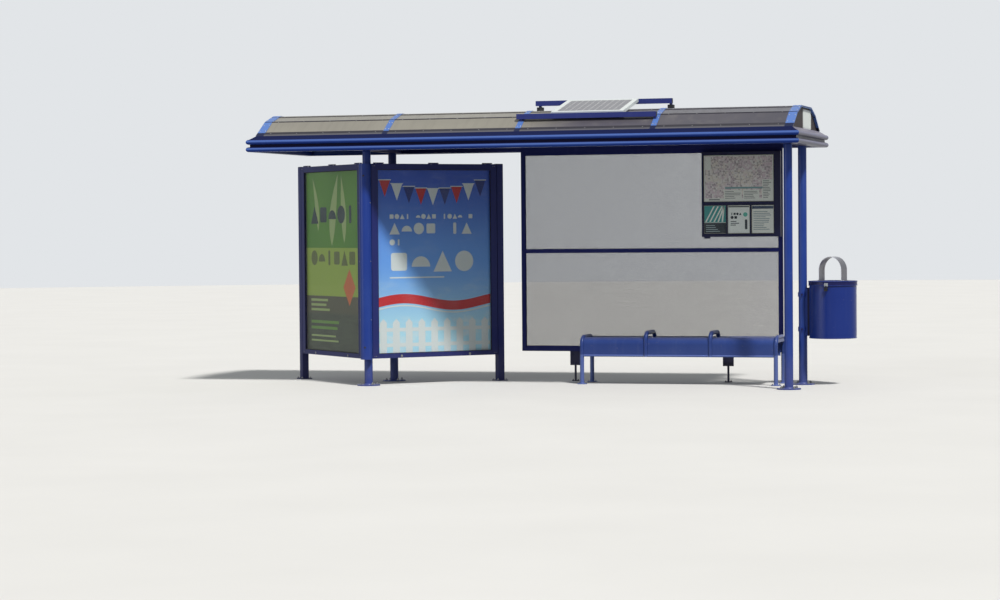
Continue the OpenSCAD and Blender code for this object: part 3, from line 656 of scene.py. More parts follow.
def barrel_lock(bm, place, radii, heights):
    """Round lock with a chamfered rim about its sunk face"""
    (outer, rim, inner), (side, top, face) = radii, heights
    profile = [(0, 0), (outer, 0), (outer, side), (rim, top), (inner, top), (inner, face), (0, face)]
    lathe(bm, profile, place, 20)


def weld(bm, place, radius, steps, bead):
    """Bead round the foot of a bar, from points that stand off the bar"""
    lathe(bm, [(radius + out, z) for out, z in bead], place, steps, ring=True)


# Objects

def put(name, data, place=Matrix()):
    """Puts a new object in the scene"""
    item = bpy.data.objects.new(name, data)
    item.matrix_world = place
    bpy.context.scene.collection.objects.link(item)
    return item


def mesh_of(name, bm, finishes):
    """Mesh of what is drawn, with its finishes"""
    mesh = bpy.data.meshes.new(name)
    bm.to_mesh(mesh)
    bm.free()
    for each in finishes:
        mesh.materials.append(each)
    return mesh


def piece(name, bm, slot, *finishes, body="shelter", bevel=0.0):
    """Makes one object of a drawn mesh and rides it on a body"""
    bmesh.ops.recalc_face_normals(bm, faces=bm.faces)
    mesh = mesh_of(name, bm, finishes)
    mesh.shade_smooth()
    mesh.set_sharp_from_angle(angle=math.radians(32))
    item = put(name, mesh)
    if bevel:
        edge = item.modifiers.new("edge", "BEVEL")
        edge.width = bevel
        edge.segments = 2
        edge.limit_method = "ANGLE"
    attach(item, body)


# Finishes that fittings share with the frame's own nodes, and those of the fittings alone

FRAME_PAINT = painted("frame paint", FRAME_BLUE, FADED_BLUE)
# Frame blue darkened as painted shade, for the beams, purlins, screen frame and its beads under the roof
SHADED_PAINT = painted(
    "shaded paint", (32, 38, 98), (46, 54, 116), dirt=0.2, gloss=0.5, coat=0.0, shine=0.1
)
# Frame blue darkened as painted shade, for the cases, their doors and end posts under the roof
CASE_SHADE_PAINT = painted("case paint with painted shade", (34, 42, 106), (48, 58, 124), dirt=0.2, gloss=0.3)
DARK_PAINT = painted("dark paint", (24, 27, 68), (40, 44, 88), dirt=0.2, gloss=0.34)
# Painted highlight: paler blue along the rolled front lip of the seats
BENCH_LIP_HIGHLIGHT = (level_mask(0.271, 0.266, 0.7), (96, 116, 180))
BENCH_PAINT = painted("bench paint", (38, 62, 130), (60, 84, 146), BENCH_LIP_HIGHLIGHT, gloss=0.26)
BIN_PAINT = painted("bin paint", (20, 46, 126), (32, 60, 140), fade=0.3, dirt=0.2, gloss=0.24, coat=0.3)
LID_PAINT = painted("lid paint", (24, 28, 84), (38, 44, 104), fade=0.3, dirt=0.1)
PALE_PAINT = painted("pale paint", (214, 222, 222), (226, 232, 232), dirt=0.2)
STEEL = metal("galvanised steel", (182, 184, 186), 0.34)
BRUSHED = metal("brushed steel", (196, 196, 204), 0.26, (40.0, 40.0, 700.0))
ALUMINIUM = metal("bare aluminium", (214, 220, 222), 0.32, (500.0, 60.0, 60.0))
RUBBER = rubber()
PANE = clear_pane()
WHITE = ink("white ink", (226, 230, 232))
RED = ink("red ink", (204, 44, 52))
NAVY = ink("navy ink", (40, 56, 132))
TEAL = ink("teal ink", (70, 160, 158))
DARK = ink("dark ink", (44, 52, 62))
PAPER = ink("paper", (248, 246, 238))

NODE_FINISHES = (
    (POSTS + " corner_column", FRAME_PAINT),
    ("cross_beams screen_header purlins screen_stiles screen_rails", SHADED_PAINT),
    ("solar_rails", painted("rail paint", (44, 54, 122), (60, 72, 138), dirt=0.1)),
    # Roof frame: painted highlight on the beads, and painted shade on the sloping top above them and in
    # the recess between them
    ("front_fascia rear_fascia left_fascia", painted(
        "fascia paint", FRAME_BLUE, FADED_BLUE, (bead_highlight_mask, (84, 112, 178)),
        (level_mask(BEAD_HIGH + 0.014, BEAD_HIGH + 0.020, 0.9), JOINT_AND_SHADE_BLUE), (recess_shade_mask, (14, 8, 52)),
        fade=0.3, dirt=0.05, coat=0.05, shine=0.12,
    )),
    # Right end of the roof frame: greyed blue that is partly faded paint and partly painted glare, with
    # painted shade in the recess
    ("right_fascia", painted(
        "faded end paint with painted glare", (92, 94, 126), (134, 132, 150), (recess_shade_mask, (44, 40, 64)),
        fade=0.8, dirt=0.5, gloss=0.4,
    )),
    # Ribs: frame blue made paler as painted sky light on their tops, with a near black band at their
    # foot and dark joints at the seams
    ("end_ribs middle_ribs", painted(
        "rib paint with painted sky light", (76, 114, 186), (104, 140, 204),
        (level_mask(RIB_FOOT + 0.003, RIB_FOOT - 0.002, 0.95), JOINT_AND_SHADE_BLUE), (seam_mask, JOINT_AND_SHADE_BLUE),
        dirt=0.1,
    )),
    (PANELS, smoked_sheet()),
    ("glazing_bars", painted(
        "bar paint", (42, 42, 54), (58, 58, 68),
        (level_mask(RIB_FOOT - 0.014, RIB_FOOT - 0.018, 0.9), (92, 92, 98)),
        dirt=0.1, gloss=0.4, coat=0.0,
    )),
    ("gable_ends", painted("gable paint", (48, 38, 40), (60, 50, 52), dirt=0.1, gloss=0.5, coat=0.0)),
    ("screen_feet info_case", DARK_PAINT),
    (SCREEN_SHEETS, perforated_sheet()),
    ("info_sheets", PAPER),
    (BENCH_FRAMES + " bench_seats bench_arms bench_rails", BENCH_PAINT),
    ("bin_body", BIN_PAINT),
    ("bin_lid", LID_PAINT),
    ("bin_bracket", painted(
        "bracket paint", (20, 20, 58), (34, 36, 84), (clamp_mask, FRAME_BLUE), fade=0.3, dirt=0.1
    )),
    ("bin_strap", BRUSHED),
    ("solar_panel", PALE_PAINT),
    ("case_end_posts left_case right_case left_door_frame right_door_frame", CASE_SHADE_PAINT),
    ("left_poster", meadow_print()),
    ("right_poster", sky_print()),
    ("left_door_pane right_door_pane", PANE),
)


def dress_nodes():
    """Gives every node of the frame its finish"""
    for names, material in NODE_FINISHES:
        for name in names.split():
            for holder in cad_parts[name].material_slots:
                holder.material = material


# Fittings of the posts and their feet

def post_feet():
    """Welds round the posts, and four bolts through every base plate, each nut turned its own way"""
    bolts = bmesh.new()
    welds = bmesh.new()
    bead = ((-0.001, 0), (0.008, 0), (0.006, 0.004), (0.002, 0.008), (-0.001, 0.010))
    for foot in map(middle, POSTS.split()):
        for x, y in disc(ANCHOR_R, foot, 4, start=TURN / 8):
            hex_bolt(bolts, at(x, y, PLATE_T) @ Matrix.Rotation(x, 4, "Z"), 0.013)
        weld(welds, at(*foot.xy, PLATE_T), POST_R, 40, bead)
    piece("anchor_bolts", bolts, "strap_steel", STEEL)
    piece("post_welds", welds, "frame_blue", FRAME_PAINT)


def case_foot_bolts():
    """Bolts of the square foot plates under the cases' end posts"""
    bm = bmesh.new()
    for side, dx, dy in product(SIDES, (-0.043, 0.043), (-0.043, 0.043)):
        hex_bolt(bm, case_frame(side) @ at(END_POST_X + dx, END_POST_Y + dy, CASE_FOOT_T), 0.009)
    piece("case_foot_bolts", bm, "strap_steel", STEEL)


def screen_foot_bolts():
    """Bolts on the round feet of the screen and through its two plates"""
    bm = bmesh.new()
    y = middle("screen_feet").y
    for x, dx in product(across("screen_feet", 0.050), (-0.024, 0.024)):
        hex_bolt(bm, at(x + dx, y, FOOT_T), 0.007)
        for dz in (-0.030, -0.100):
            place = (x + 1.3 * dx, y - 0.004, low("screen_stiles").z + dz)
            hex_bolt(bm, standing(place, (0, -1, 0)), 0.007)
    piece("screen_foot_bolts", bm, "dark_blue", DARK_PAINT)


# Fittings of the roof

def rib_screws():
    """Domed screws along both edges of every rib cap"""
    bm = bmesh.new()
    ribs = [(x, END_RIB_W) for x in across("end_ribs", END_RIB_W / 2)]
    ribs += [(x, RIB_W) for x in across("middle_ribs", RIB_W / 2, 3)]
    reaches = (0.07, 0.21, 0.32, 0.42, 0.52, 0.62)
    for (x, width), reach, slope, side in product(ribs, reaches, SIDES, SIDES):
        dome_head(bm, on_roof(x + side * (width / 2 - 0.011), slope * reach, CAP_T), 0.006)
    piece("rib_screws", bm, "rib_blue", STEEL)


def bar_screws():
    """Small screws along the glazing bars and the strips at the eaves"""
    bm = bmesh.new()
    for name in PANELS.split():
        for x, reach, slope in product(across(name, 0.09, 5), SCREW_REACHES, SIDES):
            dome_head(bm, on_roof(x, slope * reach, BAR_T), 0.004, 10)
    piece("bar_screws", bm, "dark_blue", STEEL)


def end_placard():
    """Bare white placard with round corners, riveted to the right gable"""
    width, height = 0.413, 0.1735
    place = at(high("gable_ends").x, 0.1235, 2.35825) @ RIGHT_FACE
    bm = bmesh.new()
    prism(bm, oblong(width, height, 0.014), 0.003, place)
    prism(bm, oblong(width - 0.030, height - 0.030, 0.010), 0.0006, place @ at(0, 0, 0.003), 1)
    edge = ink("placard edge", (206, 212, 212))
    piece("end_placard", bm, "print", edge, ink("placard face", (230, 238, 234)), bevel=0.0008)
    bm = bmesh.new()
    for side, level in product(SIDES, SIDES):
        spot = at(side * (width / 2 - 0.009), level * (height / 2 - 0.009), 0.003)
        dome_head(bm, place @ spot, 0.004)
    piece("placard_rivets", bm, "strap_steel", STEEL)


def solar_face():
    """Pale rim, back sheet, cells and silver lines of the solar panel"""
    place = at(*middle("solar_panel")) @ Matrix.Rotation(SOLAR_TILT, 4, "X") @ at(0, 0, SOLAR_T / 2)
    columns, rows, gap, band = 10, 4, 0.005, 0.040
    inner_w = SOLAR_W - 2 * band
    inner_d = SOLAR_D - 2 * band
    cell_w = (inner_w - 0.010) / columns
    cell_d = (inner_d - 0.010) / rows
    bm = bmesh.new()
    prism(bm, oblong(inner_w, inner_d), 0.0006, place)
    xs = [(i - (columns - 1) / 2) * cell_w for i in range(columns)]
    ys = [(i - (rows - 1) / 2) * cell_d for i in range(rows)]
    for centre in product(xs, ys):
        cell = oblong(cell_w - gap, cell_d - gap, 0.005, 1, centre)
        prism(bm, cell, 0.0005, place @ at(0, 0, 0.0006), 1)
    for y, share in product(ys, (-0.22, 0.22)):
        line = oblong(inner_w - 0.016, 0.0022, centre=(0, y + share * cell_d))
        prism(bm, line, 0.0004, place @ at(0, 0, 0.0011), 2)
    piece("solar_cells", bm, "solar", ink("back sheet", (196, 196, 198)), solar_cell(), ALUMINIUM)
    bm = bmesh.new()
    rim_of(bm, inner_w, inner_d, band, 0.003, place)
    piece("solar_rim", bm, "solar", PALE_PAINT, bevel=0.0006)


def rail_fittings():
    """Plugs in the rails' ends, rubber pads under the rear feet and clips that hold the panel"""
    half = SOLAR_RAIL / 2
    start = low("solar_rails")
    end = high("solar_rails")
    rails = ((start.y + half, end.z - half - SOLAR_LIFT), (end.y - half, end.z - half))
    bm = bmesh.new()
    for (y, z), (x, out) in product(rails, ((start.x, -1), (end.x, 1))):
        plug = oblong(SOLAR_RAIL - 0.0065, SOLAR_RAIL - 0.0065, 0.003)
        prism(bm, plug, 0.0045, standing((x - 0.003 * out, y, z), (out, 0, 0)))
    for x in (start.x + 0.040, end.x - 0.012):
        prism(bm, oblong(0.054, 0.064, 0.006), 0.046, on_roof(x, end.y - half, CAP_T - 0.001))
    piece("rail_plugs_and_pads", bm, "solar", RUBBER, bevel=0.0015)
    bm = bmesh.new()
    for dx, ((y, z), inward) in product((-0.26, 0.26), zip(rails, (1, -1))):
        place = (middle("solar_panel").x + dx, y + inward * half, z - 0.004)
        plate = standing(place, (0, inward, 0))
        prism(bm, oblong(0.040, 0.036, 0.004), 0.003, plate)
        dome_head(bm, plate @ at(0, 0, 0.003), 0.006)
    piece("panel_clips", bm, "solar", ALUMINIUM, bevel=0.0006)


# Fittings of the cases

def door_trim(side, body):
    """Gasket round the pane, locks and corner rivets, and the dark lines of the mitres"""
    door = case_frame(side)
    bm = bmesh.new()
    opening = front(sum(OPENING_X) / 2, PANE_FRONT, sum(OPENING_Z) / 2)
    rim_of(bm, SHEET_W - 0.012, SHEET_H - 0.012, 0.0055, 0.004, door @ opening)
    piece(body + "_gasket", bm, "dark_blue", RUBBER, body=body)
    bm = bmesh.new()
    for x in (0.310, 1.014):
        lock = door @ front(x, DOOR_FRONT + 0.0005, 0.262)
        barrel_lock(bm, lock, (0.011, 0.009, 0.0055), (0.002, 0.0035, 0.0015))
        prism(bm, disc(0.0045, steps=3), 0.0022, lock @ at(0, 0, 0.001))
    for (x, inward), (z, up) in product(zip(DOOR_X, (1, -1)), zip(CASE_Z, (1, -1))):
        for dx in (0, 0.016 * inward):
            rivet = front(x + 0.020 * inward + dx, DOOR_FRONT, z + 0.020 * up)
            dome_head(bm, door @ rivet, 0.003, 10)
    piece(body + "_locks", bm, "strap_steel", STEEL, body=body)
    bm = bmesh.new()
    line = 0.0012
    for (x, edge), (z, end) in product(zip(OPENING_X, DOOR_X), zip(OPENING_Z, CASE_Z)):
        out, up = edge - x, end - z
        mitre = [(0, -line), (0, line), (out, up + line), (out, up - line)]
        prism(bm, mitre, 0.0004, door @ front(x, DOOR_FRONT, z))
    piece(body + "_mitres", bm, "dark_blue", RUBBER, body=body)


def case_caps():
    """Plastic caps on the end posts and rivets down the cases' backs"""
    bm = bmesh.new()
    for side in SIDES:
        place = case_frame(side) @ at(END_POST_X, END_POST_Y, CASE_Z[1])
        prism(bm, oblong(0.062, 0.062, 0.006), 0.004, place)
    piece("end_post_caps", bm, "dark_blue", RUBBER, bevel=0.0012)
    bm = bmesh.new()
    heights = spread(CASE_Z[0] + 0.03, CASE_Z[1] - 0.03, 3)
    for side, x, z in product(SIDES, spread(0.12, 1.26, 6), heights):
        dome_head(bm, case_frame(side) @ standing((x, CASE_BACK, z), (0, 1, 0)), 0.005, 12)
    piece("case_back_rivets", bm, "dark_blue", CASE_SHADE_PAINT)


def on_column(degrees, z, radius):
    """Matrix on the rounded corner column"""
    facing = Vector((math.cos(math.radians(degrees)), math.sin(math.radians(degrees)), 0))
    post = middle("front_left_post")
    return standing(Vector((post.x, post.y - 0.050, z)) + radius * facing, facing)


def column_fittings():
    """Barrel locks and screws down the corner column"""
    bm = bmesh.new()
    for z in (0.350, 1.905):
        barrel_lock(bm, on_column(-86, z, 0.0545), (0.009, 0.007, 0.0035), (0.0022, 0.0030, 0.0012))
    piece("column_locks", bm, "dark_blue", RUBBER)
    bm = bmesh.new()
    for z, degrees in product((0.60, 1.13, 1.66), (-165, -15)):
        dome_head(bm, on_column(degrees, z, 0.055), 0.005)
    piece("column_screws", bm, "strap_steel", STEEL)


# Printed sheets

class Print:
    """Thin shapes laid on a sheet, each in one of its inks; x to the right and y up from a corner"""
    LAYERS = 4
    LAYER_T = 0.0002
    MARKS = LAYERS - 1

    def __init__(self, place):
        self.bm = bmesh.new()
        self.place = place
        self.layer = 0

    def shape(self, outline, tone, layer=None):
        """Adds an outline on the next layer, or on a given one"""
        self.layer = self.layer if layer is None else layer
        lift = at(0, 0, self.LAYER_T * (self.layer % self.LAYERS))
        prism(self.bm, outline, 0.0005, self.place @ lift, tone)
        self.layer += 1

    def box(self, width, height, centre, tone, layer=None):
        self.shape(oblong(width, height, centre=centre), tone, layer)

    def motif_row(self, x, y, size, kinds, tone):
        """Row of plain motifs: o a disc, s a square, t a triangle, h a half disc, b a bar"""
        for kind in kinds:
            centre = (x + size / 2, y + size / 2)
            shapes = {
                "o": disc(size / 2, centre),
                "s": oblong(0.86 * size, 0.86 * size, 0.12 * size, 4, centre),
                "t": [(x, y), (x + size, y), (x + size / 2, y + size)],
                "h": disc(size / 2, (x + size / 2, y + size / 4), share=0.5),
                "b": oblong(0.30 * size, size, 0.10 * size, 3, centre),
            }
            if kind in shapes:
                self.shape(shapes[kind], tone, self.MARKS)
            x += 1.18 * size

    def lines(self, x, y, width, count, pitch, height, tone, seed):
        """Bars of uneven length, as rows of small print"""
        chance = random.Random(seed)
        for i in range(count):
            length = width * chance.uniform(0.55, 1.0)
            self.box(length, height, (x + length / 2, y - i * pitch), tone, self.MARKS)

    def done(self, name, *finishes):
        piece(name, self.bm, "print", *finishes)


def poster(side):
    """Print on a poster, from its lower left corner as one who faces it sees it"""
    place = case_frame(side) @ front(OPENING_X[side < 0], SHEET_FRONT - 0.0001, OPENING_Z[0])
    return Print(place @ Matrix.Scale(side, 4, (1, 0, 0)))


def sky_poster():
    """Bunting over rows of white motifs, a red ribbon and a picket fence"""
    sheet = poster(1)
    flags = 9
    pitch = (SHEET_W - 0.06) / flags
    reach = pitch - 0.012
    for i in range(flags):
        x = 0.03 + pitch * i
        top = 1.500 + 0.10 * (2 * (i + 0.5) / flags - 1) ** 2
        sheet.shape([(x, top), (x + reach / 2, top - 0.15), (x + reach, top)], (1, 0, 2)[i % 3])
        sheet.box(reach + 0.016, 0.008, (x + reach / 2, top + 0.004), 0)
    sheet.motif_row(0.130, 1.225, 0.046, "sotb hots both s", 0)
    sheet.motif_row(0.130, 1.085, 0.105, "thos bt", 0)
    sheet.motif_row(0.130, 0.985, 0.055, "ob", 0)
    sheet.motif_row(0.130, 0.740, 0.190, "shto", 0)
    sheet.shape(oblong(0.560, 0.012, 0.005, 3, (0.410, 0.690)), 0)
    shares = spread(0, 1, 37)
    wave = [(SHEET_W * share, 0.505 + 0.035 * math.sin(TURN * 1.1 * share)) for share in shares]
    for upper, lower, tone in ((0, 0.085, 1), (0.100, 0.112, 0)):
        edge = [(x, y - lower) for x, y in reversed(wave)]
        sheet.shape([(x, y - upper) for x, y in wave] + edge, tone)
    for y in (0.075, 0.215):
        sheet.box(SHEET_W - 0.010, 0.034, (SHEET_W / 2, y), 0, 0)
    half, neck, tip = 0.035, 0.280, 0.315
    for x in spread(0.060, SHEET_W - 0.060, 9):
        picket = [(x - half, 0.004), (x + half, 0.004), (x + half, neck), (x, tip), (x - half, neck)]
        sheet.shape(picket, 0, 2)
    sheet.done("sky_poster_print", WHITE, RED, NAVY)


def leaf(x, y, length, lean, girth):
    """Long pointed leaf from its foot upwards, leaning to one side"""
    shares = spread(0, 1, 15)
    spine = [(x + lean * share ** 2, y + length * share) for share in shares]
    half = [girth * math.sin(math.pi * share ** 0.8) for share in shares]
    right = [(p[0] + h, p[1]) for p, h in zip(spine, half)]
    left = [(p[0] - h, p[1]) for p, h in zip(spine, half)]
    return right[:-1] + [spine[-1]] + left[-2:0:-1]


def meadow_poster():
    """Pale leaves, two rows of dark motifs, an orange diamond and quiet lines at the foot"""
    sheet = poster(-1)
    sheet.shape(leaf(0.560, 0.985, 0.66, 0.14, 0.070), 0)
    sheet.shape(leaf(0.830, 1.010, 0.62, -0.06, 0.052), 0)
    sheet.shape(leaf(0.260, 1.120, 0.50, -0.12, 0.040), 0)
    sheet.motif_row(0.100, 1.190, 0.165, "tshob", 1)
    sheet.motif_row(0.100, 0.800, 0.140, "ohbsts", 2)
    x, y, half, rise = 0.930, 0.600, 0.130, 0.169
    sheet.shape([(x + half, y), (x, y + rise), (x - half, y), (x, y - rise)], 3)
    sheet.lines(0.090, 0.475, 0.560, 3, 0.045, 0.022, 0, 4)
    sheet.lines(0.090, 0.270, 0.800, 2, 0.055, 0.026, 4, 9)
    sheet.lines(0.090, 0.140, 0.700, 2, 0.045, 0.016, 0, 12)
    inks = {
        "pale leaf ink": (170, 190, 118), "pine ink": (14, 44, 52), "olive ink": (106, 116, 52),
        "orange ink": (222, 112, 56), "grass ink": (110, 156, 60),
    }
    sheet.done("meadow_poster_print", *(ink(name, colour) for name, colour in inks.items()))


# Information case

def info_windows():
    """Lower left corner and size of each window of the information case"""
    x = low("info_sheets").x - 0.0003
    top = high("info_sheets").z + 0.0003
    bottom = low("info_sheets").z - 0.0003
    notices = [(x + i * (NOTICE_W + NOTICE_GAP), bottom, NOTICE_W, NOTICE_H) for i in range(3)]
    return [(x, top - MAP_H, INFO_SHEET_W, MAP_H)] + notices


def info_fronts():
    """Clear sheets and gaskets in the windows of the information case, and its lock block"""
    panes = bmesh.new()
    gaskets = bmesh.new()
    face = low("info_case").y
    foot = low("info_case").z
    for x, z, width, height in info_windows():
        place = front(x + width / 2, face + 0.0035, z + height / 2)
        prism(panes, oblong(width - 0.0006, height - 0.0006), 0.002, place)
        rim_of(gaskets, width - 0.010, height - 0.010, 0.0045, 0.0014, place @ at(0, 0, 0.002))
    piece("info_panes", panes, "pane", PANE)
    piece("info_gaskets", gaskets, "dark_blue", RUBBER)
    bm = bmesh.new()
    x = 1.3145
    prism(bm, oblong(0.055, 0.026, 0.004), 0.016, at(x, face + 0.016, foot - 0.015))
    plug = standing((x, face + 0.003, foot - 0.007), (0, -1, 0))
    lathe(bm, [(0, 0), (0.008, 0), (0.008, 0.004), (0.006, 0.005), (0, 0.005)], plug, 16)
    piece("info_lock", bm, "dark_blue", DARK_PAINT, bevel=0.001)


def street_plan(sheet):
    """Street plan over a key in three panels"""
    sheet.box(INFO_SHEET_W - 0.030, MAP_H - 0.046, (INFO_SHEET_W / 2, MAP_H / 2 + 0.012), 0)
    sheet.box(0.052, 0.115, (0.044, MAP_H - 0.075), 1)
    sheet.box(0.350, 0.016, (0.375, 0.128), 2)
    panels = ((0.272, 0.066, 0.165, 0.085), (0.440, 0.066, 0.150, 0.085), (0.588, 0.110, 0.098, 0.185))
    for x, y, width, height in panels:
        sheet.box(width, height, (x, y), 1, 2)
        left, top = x - width / 2 + 0.010, y + height / 2 - 0.014
        sheet.lines(left, top, width - 0.020, int(height / 0.016), 0.015, 0.005, 3, int(1000 * width))
    sheet.lines(0.050, 0.022, 0.120, 1, 0.02, 0.009, 3, 5)
    pale, grey = ink("pale teal ink", (132, 168, 172)), ink("grey ink", (120, 118, 118))
    sheet.done("street_plan", street_plan_print(), PAPER, pale, grey)


def striped_notice(sheet):
    """Slanting stripes over a dark field with lines"""
    sheet.box(NOTICE_W - 0.012, 0.150, (NOTICE_W / 2, 0.180), 0)
    foot, top, thick = 0.110, 0.250, 0.014
    for left in spread(0.014, 0.166, 5):
        lean = min(0.075, NOTICE_W - 0.014 - left - 0.016)
        stripe = [(left, foot), (left + thick, foot), (left + thick + lean, top), (left + lean, top)]
        sheet.shape(stripe, 1, 1)
    sheet.box(NOTICE_W - 0.012, 0.094, (NOTICE_W / 2, 0.054), 2, 1)
    sheet.lines(0.022, 0.078, 0.150, 4, 0.018, 0.006, 3, 31)
    sheet.done("striped_notice", TEAL, PAPER, DARK, ink("mist ink", (168, 186, 188)))


def plain_notice(sheet):
    """Small motifs and lines on pale paper, beside a disc and a bar"""
    sheet.box(NOTICE_W - 0.020, 0.010, (NOTICE_W / 2, 0.246), 1)
    sheet.box(NOTICE_W - 0.010, 0.230, (NOTICE_W / 2, 0.121), 0)
    sheet.motif_row(0.030, 0.170, 0.022, "bsot", 1)
    sheet.motif_row(0.030, 0.135, 0.028, "os", 1)
    sheet.lines(0.030, 0.112, 0.080, 3, 0.016, 0.007, 1, 8)
    sheet.shape(disc(0.020, (0.165, 0.175)), 2, 2)
    sheet.shape(oblong(0.022, 0.090, 0.008, 3, (0.172, 0.085)), 1)
    bright, mint = ink("bright paper", (248, 248, 244)), ink("mint ink", (96, 190, 170))
    sheet.done("plain_notice", bright, DARK, mint)


def lined_notice(sheet):
    """Lines under a dark heading"""
    sheet.box(NOTICE_W - 0.016, 0.026, (NOTICE_W / 2, 0.238), 0)
    sheet.lines(0.020, 0.200, 0.165, 11, 0.016, 0.006, 1, 17)
    sheet.done("lined_notice", ink("slate ink", (62, 76, 104)), ink("line ink", (150, 162, 168)))


def info_prints():
    """Invented prints behind the windows of the information case"""
    face = low("info_sheets").y - 0.0001
    draws = (street_plan, striped_notice, plain_notice, lined_notice)
    for draw, (x, z, *_) in zip(draws, info_windows()):
        draw(Print(front(x, face, z)))


# Fittings of the screen, the bench and the bin

def screen_beads():
    """Glazing beads round both sheets of the screen, on both faces, and their rivets"""
    beads = bmesh.new()
    rivets = bmesh.new()
    band, thick, half_sheet, edge = 0.005, 0.004, 0.0015, 0.011
    for name, out in product(SCREEN_SHEETS.split(), SIDES):
        size = high(name) - low(name)
        x, _, z = middle(name)
        turn = Matrix.Rotation(math.pi if out > 0 else 0, 4, "Z")
        place = at(x, middle("screen_stiles").y + out * half_sheet, z) @ turn @ FRONT_FACE
        rim_of(beads, size.x - 2 * band, size.z - 2 * band, band - 0.0004, thick, place)
        right, top = size.x / 2, size.z / 2
        for aside, y in product(spread(0.06 - right, right - 0.06, 10), (edge - top, top - edge)):
            dome_head(rivets, place @ at(aside, y, 0), 0.004, 8)
        for y, aside in product(spread(0.10 - top, top - 0.10, 4), (edge - right, right - edge)):
            dome_head(rivets, place @ at(aside, y, 0), 0.004, 8)
    piece("screen_beads", beads, "dark_blue", SHADED_PAINT)
    piece("screen_rivets", rivets, "strap_steel", STEEL)


def bench_fittings():
    """Round-headed bolts through the seats, foot bolts and welds at the feet"""
    bolts = bmesh.new()
    welds = bmesh.new()
    rails = across("bench_rails", 0.015, axis=1)
    hoops = spread(middle("bench_left_frame").x, middle("bench_right_frame").x, 4)
    seat_top = high("bench_seats").z - 0.006
    for a, b in zip(hoops, hoops[1:]):
        for x, y in product((a + 0.10, b - 0.10), rails):
            dome_head(bolts, at(x, y, seat_top), 0.010, 18)
    hoop_r = 0.019
    inset = 2.4 * hoop_r
    bead = ((-0.001, 0), (0.005, 0), (0.003, 0.004), (-0.001, 0.006))
    for name in BENCH_FRAMES.split():
        x = middle(name).x
        for y in across(name, inset, axis=1):
            for dx in (-0.033, 0.033):
                hex_bolt(bolts, at(x + dx, y, FOOT_T), 0.007)
            weld(welds, at(x, y, FOOT_T), hoop_r, 28, bead)
    piece("bench_bolts", bolts, "strap_steel", STEEL)
    piece("bench_welds", welds, "frame_blue", BENCH_PAINT)


def bin_rolls():
    """Rolled rims of the lid, its mouth and the body, and the body's seam"""
    bm = bmesh.new()
    top = high("bin_lid").z
    foot = low("bin_body").z
    rolls = (
        (LID_R - 0.001, top - 0.004, 0.0045), (LID_R + 0.0005, low("bin_lid").z + 0.003, 0.003),
        (MOUTH_R + 0.001, top + 0.0005, 0.0035), (LID_R - 0.007, foot + 0.004, 0.004),
    )
    for radius, z, thick in rolls:
        lathe(bm, disc(thick, (radius, z), 10), at(*BIN), 72, ring=True)
    seam = at(BIN.x + LID_R - 0.0070, BIN.y, middle("bin_body").z) @ RIGHT_FACE
    prism(bm, oblong(0.018, high("bin_body").z - foot - 0.06), 0.0018, seam)
    piece("bin_rolls_and_seam", bm, "frame_blue", BIN_PAINT)


def strap_feet():
    """Flanges at the foot of the arched strap, each with two rivets"""
    bm = bmesh.new()
    turn = at(BIN.x, BIN.y, high("bin_lid").z) @ Matrix.Rotation(math.radians(-25), 4, "Z")
    for side in SIDES:
        spot = turn @ at(side * 0.134, 0, 0)
        prism(bm, oblong(0.030, 0.090, 0.005), 0.004, spot)
        for dy in (-0.026, 0.026):
            dome_head(bm, spot @ at(side * 0.003, dy, 0.004), 0.006)
    piece("strap_feet", bm, "strap_steel", BRUSHED, bevel=0.0006)


def bin_hasp():
    """Hasp on the lid's skirt, with a small lock that hangs from its staple"""
    up = Vector((0, 0, 1))
    facing = Vector((2.462 - BIN.x, -LID_R, 0)).normalized()
    spot = BIN + 0.896 * up + (LID_R + 0.0002) * facing
    plate = standing(spot, facing)
    bm = bmesh.new()
    prism(bm, oblong(0.034, 0.030, 0.004), 0.003, plate)
    dome_head(bm, plate @ at(0, 0, 0.003), 0.0055)
    piece("lid_hasp", bm, "strap_steel", ALUMINIUM, bevel=0.0006)
    bm = bmesh.new()
    across_it = up.cross(facing)
    start = spot + 0.009 * facing - 0.026 * up
    arch = [math.cos(a) * across_it + 1.4 * math.sin(a) * up for a in spread(0, math.pi, 12)]
    tube(bm, [start + 0.009 * reach for reach in arch], 0.0024, 10)
    body = standing(start - 0.015 * up - 0.007 * facing, facing)
    prism(bm, oblong(0.030, 0.032, 0.005), 0.014, body)
    piece("hanging_lock", bm, "dark_blue", RUBBER, bevel=0.0014)


def bracket_bolts():
    """Clamp bolts on the two bands that hold the bin to its post"""
    bm = bmesh.new()
    post = middle("rear_right_post")
    for z, side in product((0.496, 0.806), SIDES):
        hex_bolt(bm, standing((post.x, post.y + side * (POST_R + 0.0055), z), (0, side, 0)), 0.009)
    piece("bracket_bolts", bm, "dark_blue", LID_PAINT)


# Light, floor and camera

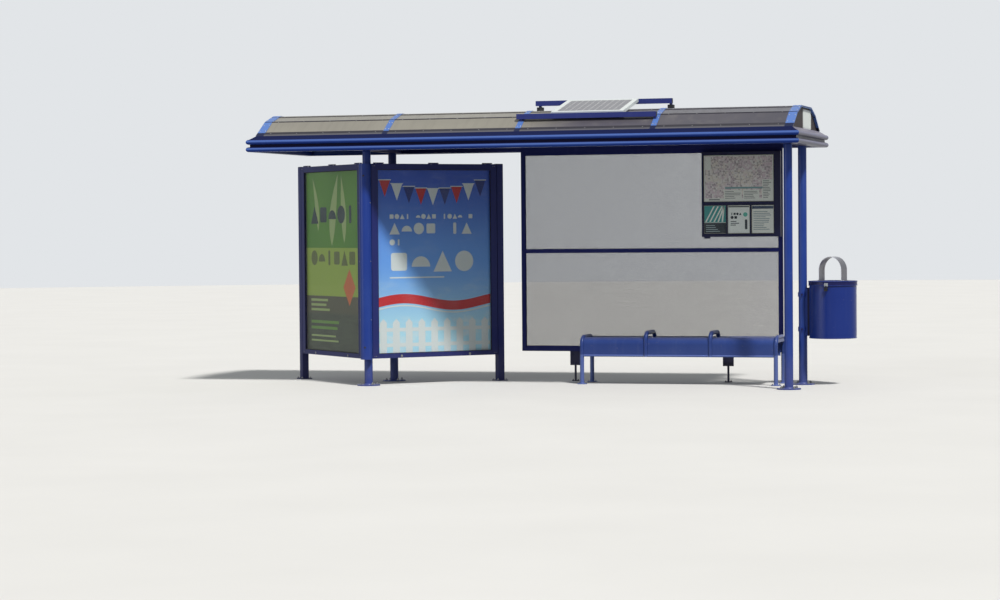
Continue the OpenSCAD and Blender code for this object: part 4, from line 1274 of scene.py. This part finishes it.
def studio_world():
    """Even light, and a paler backdrop behind the shelter"""
    world = bpy.data.worlds.new("studio")
    bpy.context.scene.world = world
    world.use_nodes = True
    world.node_tree.nodes.clear()
    w = Wires(world.node_tree)
    light = w.add("Background", {"Color": (0.95, 0.98, 1.0, 1.0), "Strength": 0.34})[0]
    shown = w.add("Background", {"Color": (226, 229, 232), "Strength": 1.0})[0]
    seen = w.shows(w.add("TexCoord")["Generated"])
    w.add("OutputWorld", {"Surface": w.add("MixShader", {0: seen, 1: light, 2: shown})[0]})


def soft_lamp(name, energy, degrees, colour, place):
    """Far soft lamp that shines from a place towards the shelter"""
    lamp = bpy.data.lights.new(name, "SUN")
    lamp.energy = energy
    lamp.angle = math.radians(degrees)
    lamp.color = colour
    put(name, lamp, standing(place, place))


def floor():
    bm = bmesh.new()
    lathe(bm, [(0, -0.0006), (45.0, -0.0006)], steps=96)
    put("floor", mesh_of("floor", bm, [pale_floor()]))


def camera():
    """Camera at the photograph's place: across the street, turned left, a little tilted"""
    lens = bpy.data.cameras.new("camera")
    lens.sensor_width = 36.0
    lens.lens = 94.63
    lens.shift_y = 0.0059
    lens.clip_end = 200.0
    place = at(6.230, -23.084, 1.420)
    for degrees, axis in ((16.34, "Z"), (90 - 1.693, "X"), (-0.479, "Z")):
        place = place @ Matrix.Rotation(math.radians(degrees), 4, axis)
    bpy.context.scene.camera = put("camera", lens, place)


camera()
studio_world()
soft_lamp("key lamp", 3.4, 6, (1.0, 0.97, 0.93), (3.1, -3.1, 6.4))
soft_lamp("fill lamp", 0.45, 30, (0.97, 0.98, 1.0), (-5.0, -4.0, 1.2))
floor()
bpy.context.scene.view_settings.view_transform = "Standard"

dress_nodes()
post_feet()
case_foot_bolts()
screen_foot_bolts()
rib_screws()
bar_screws()
end_placard()
solar_face()
rail_fittings()
door_trim(-1, "left_door")
door_trim(1, "right_door")
case_caps()
column_fittings()
sky_poster()
meadow_poster()
info_fronts()
info_prints()
screen_beads()
bench_fittings()
bin_rolls()
strap_feet()
bin_hasp()
bracket_bolts()
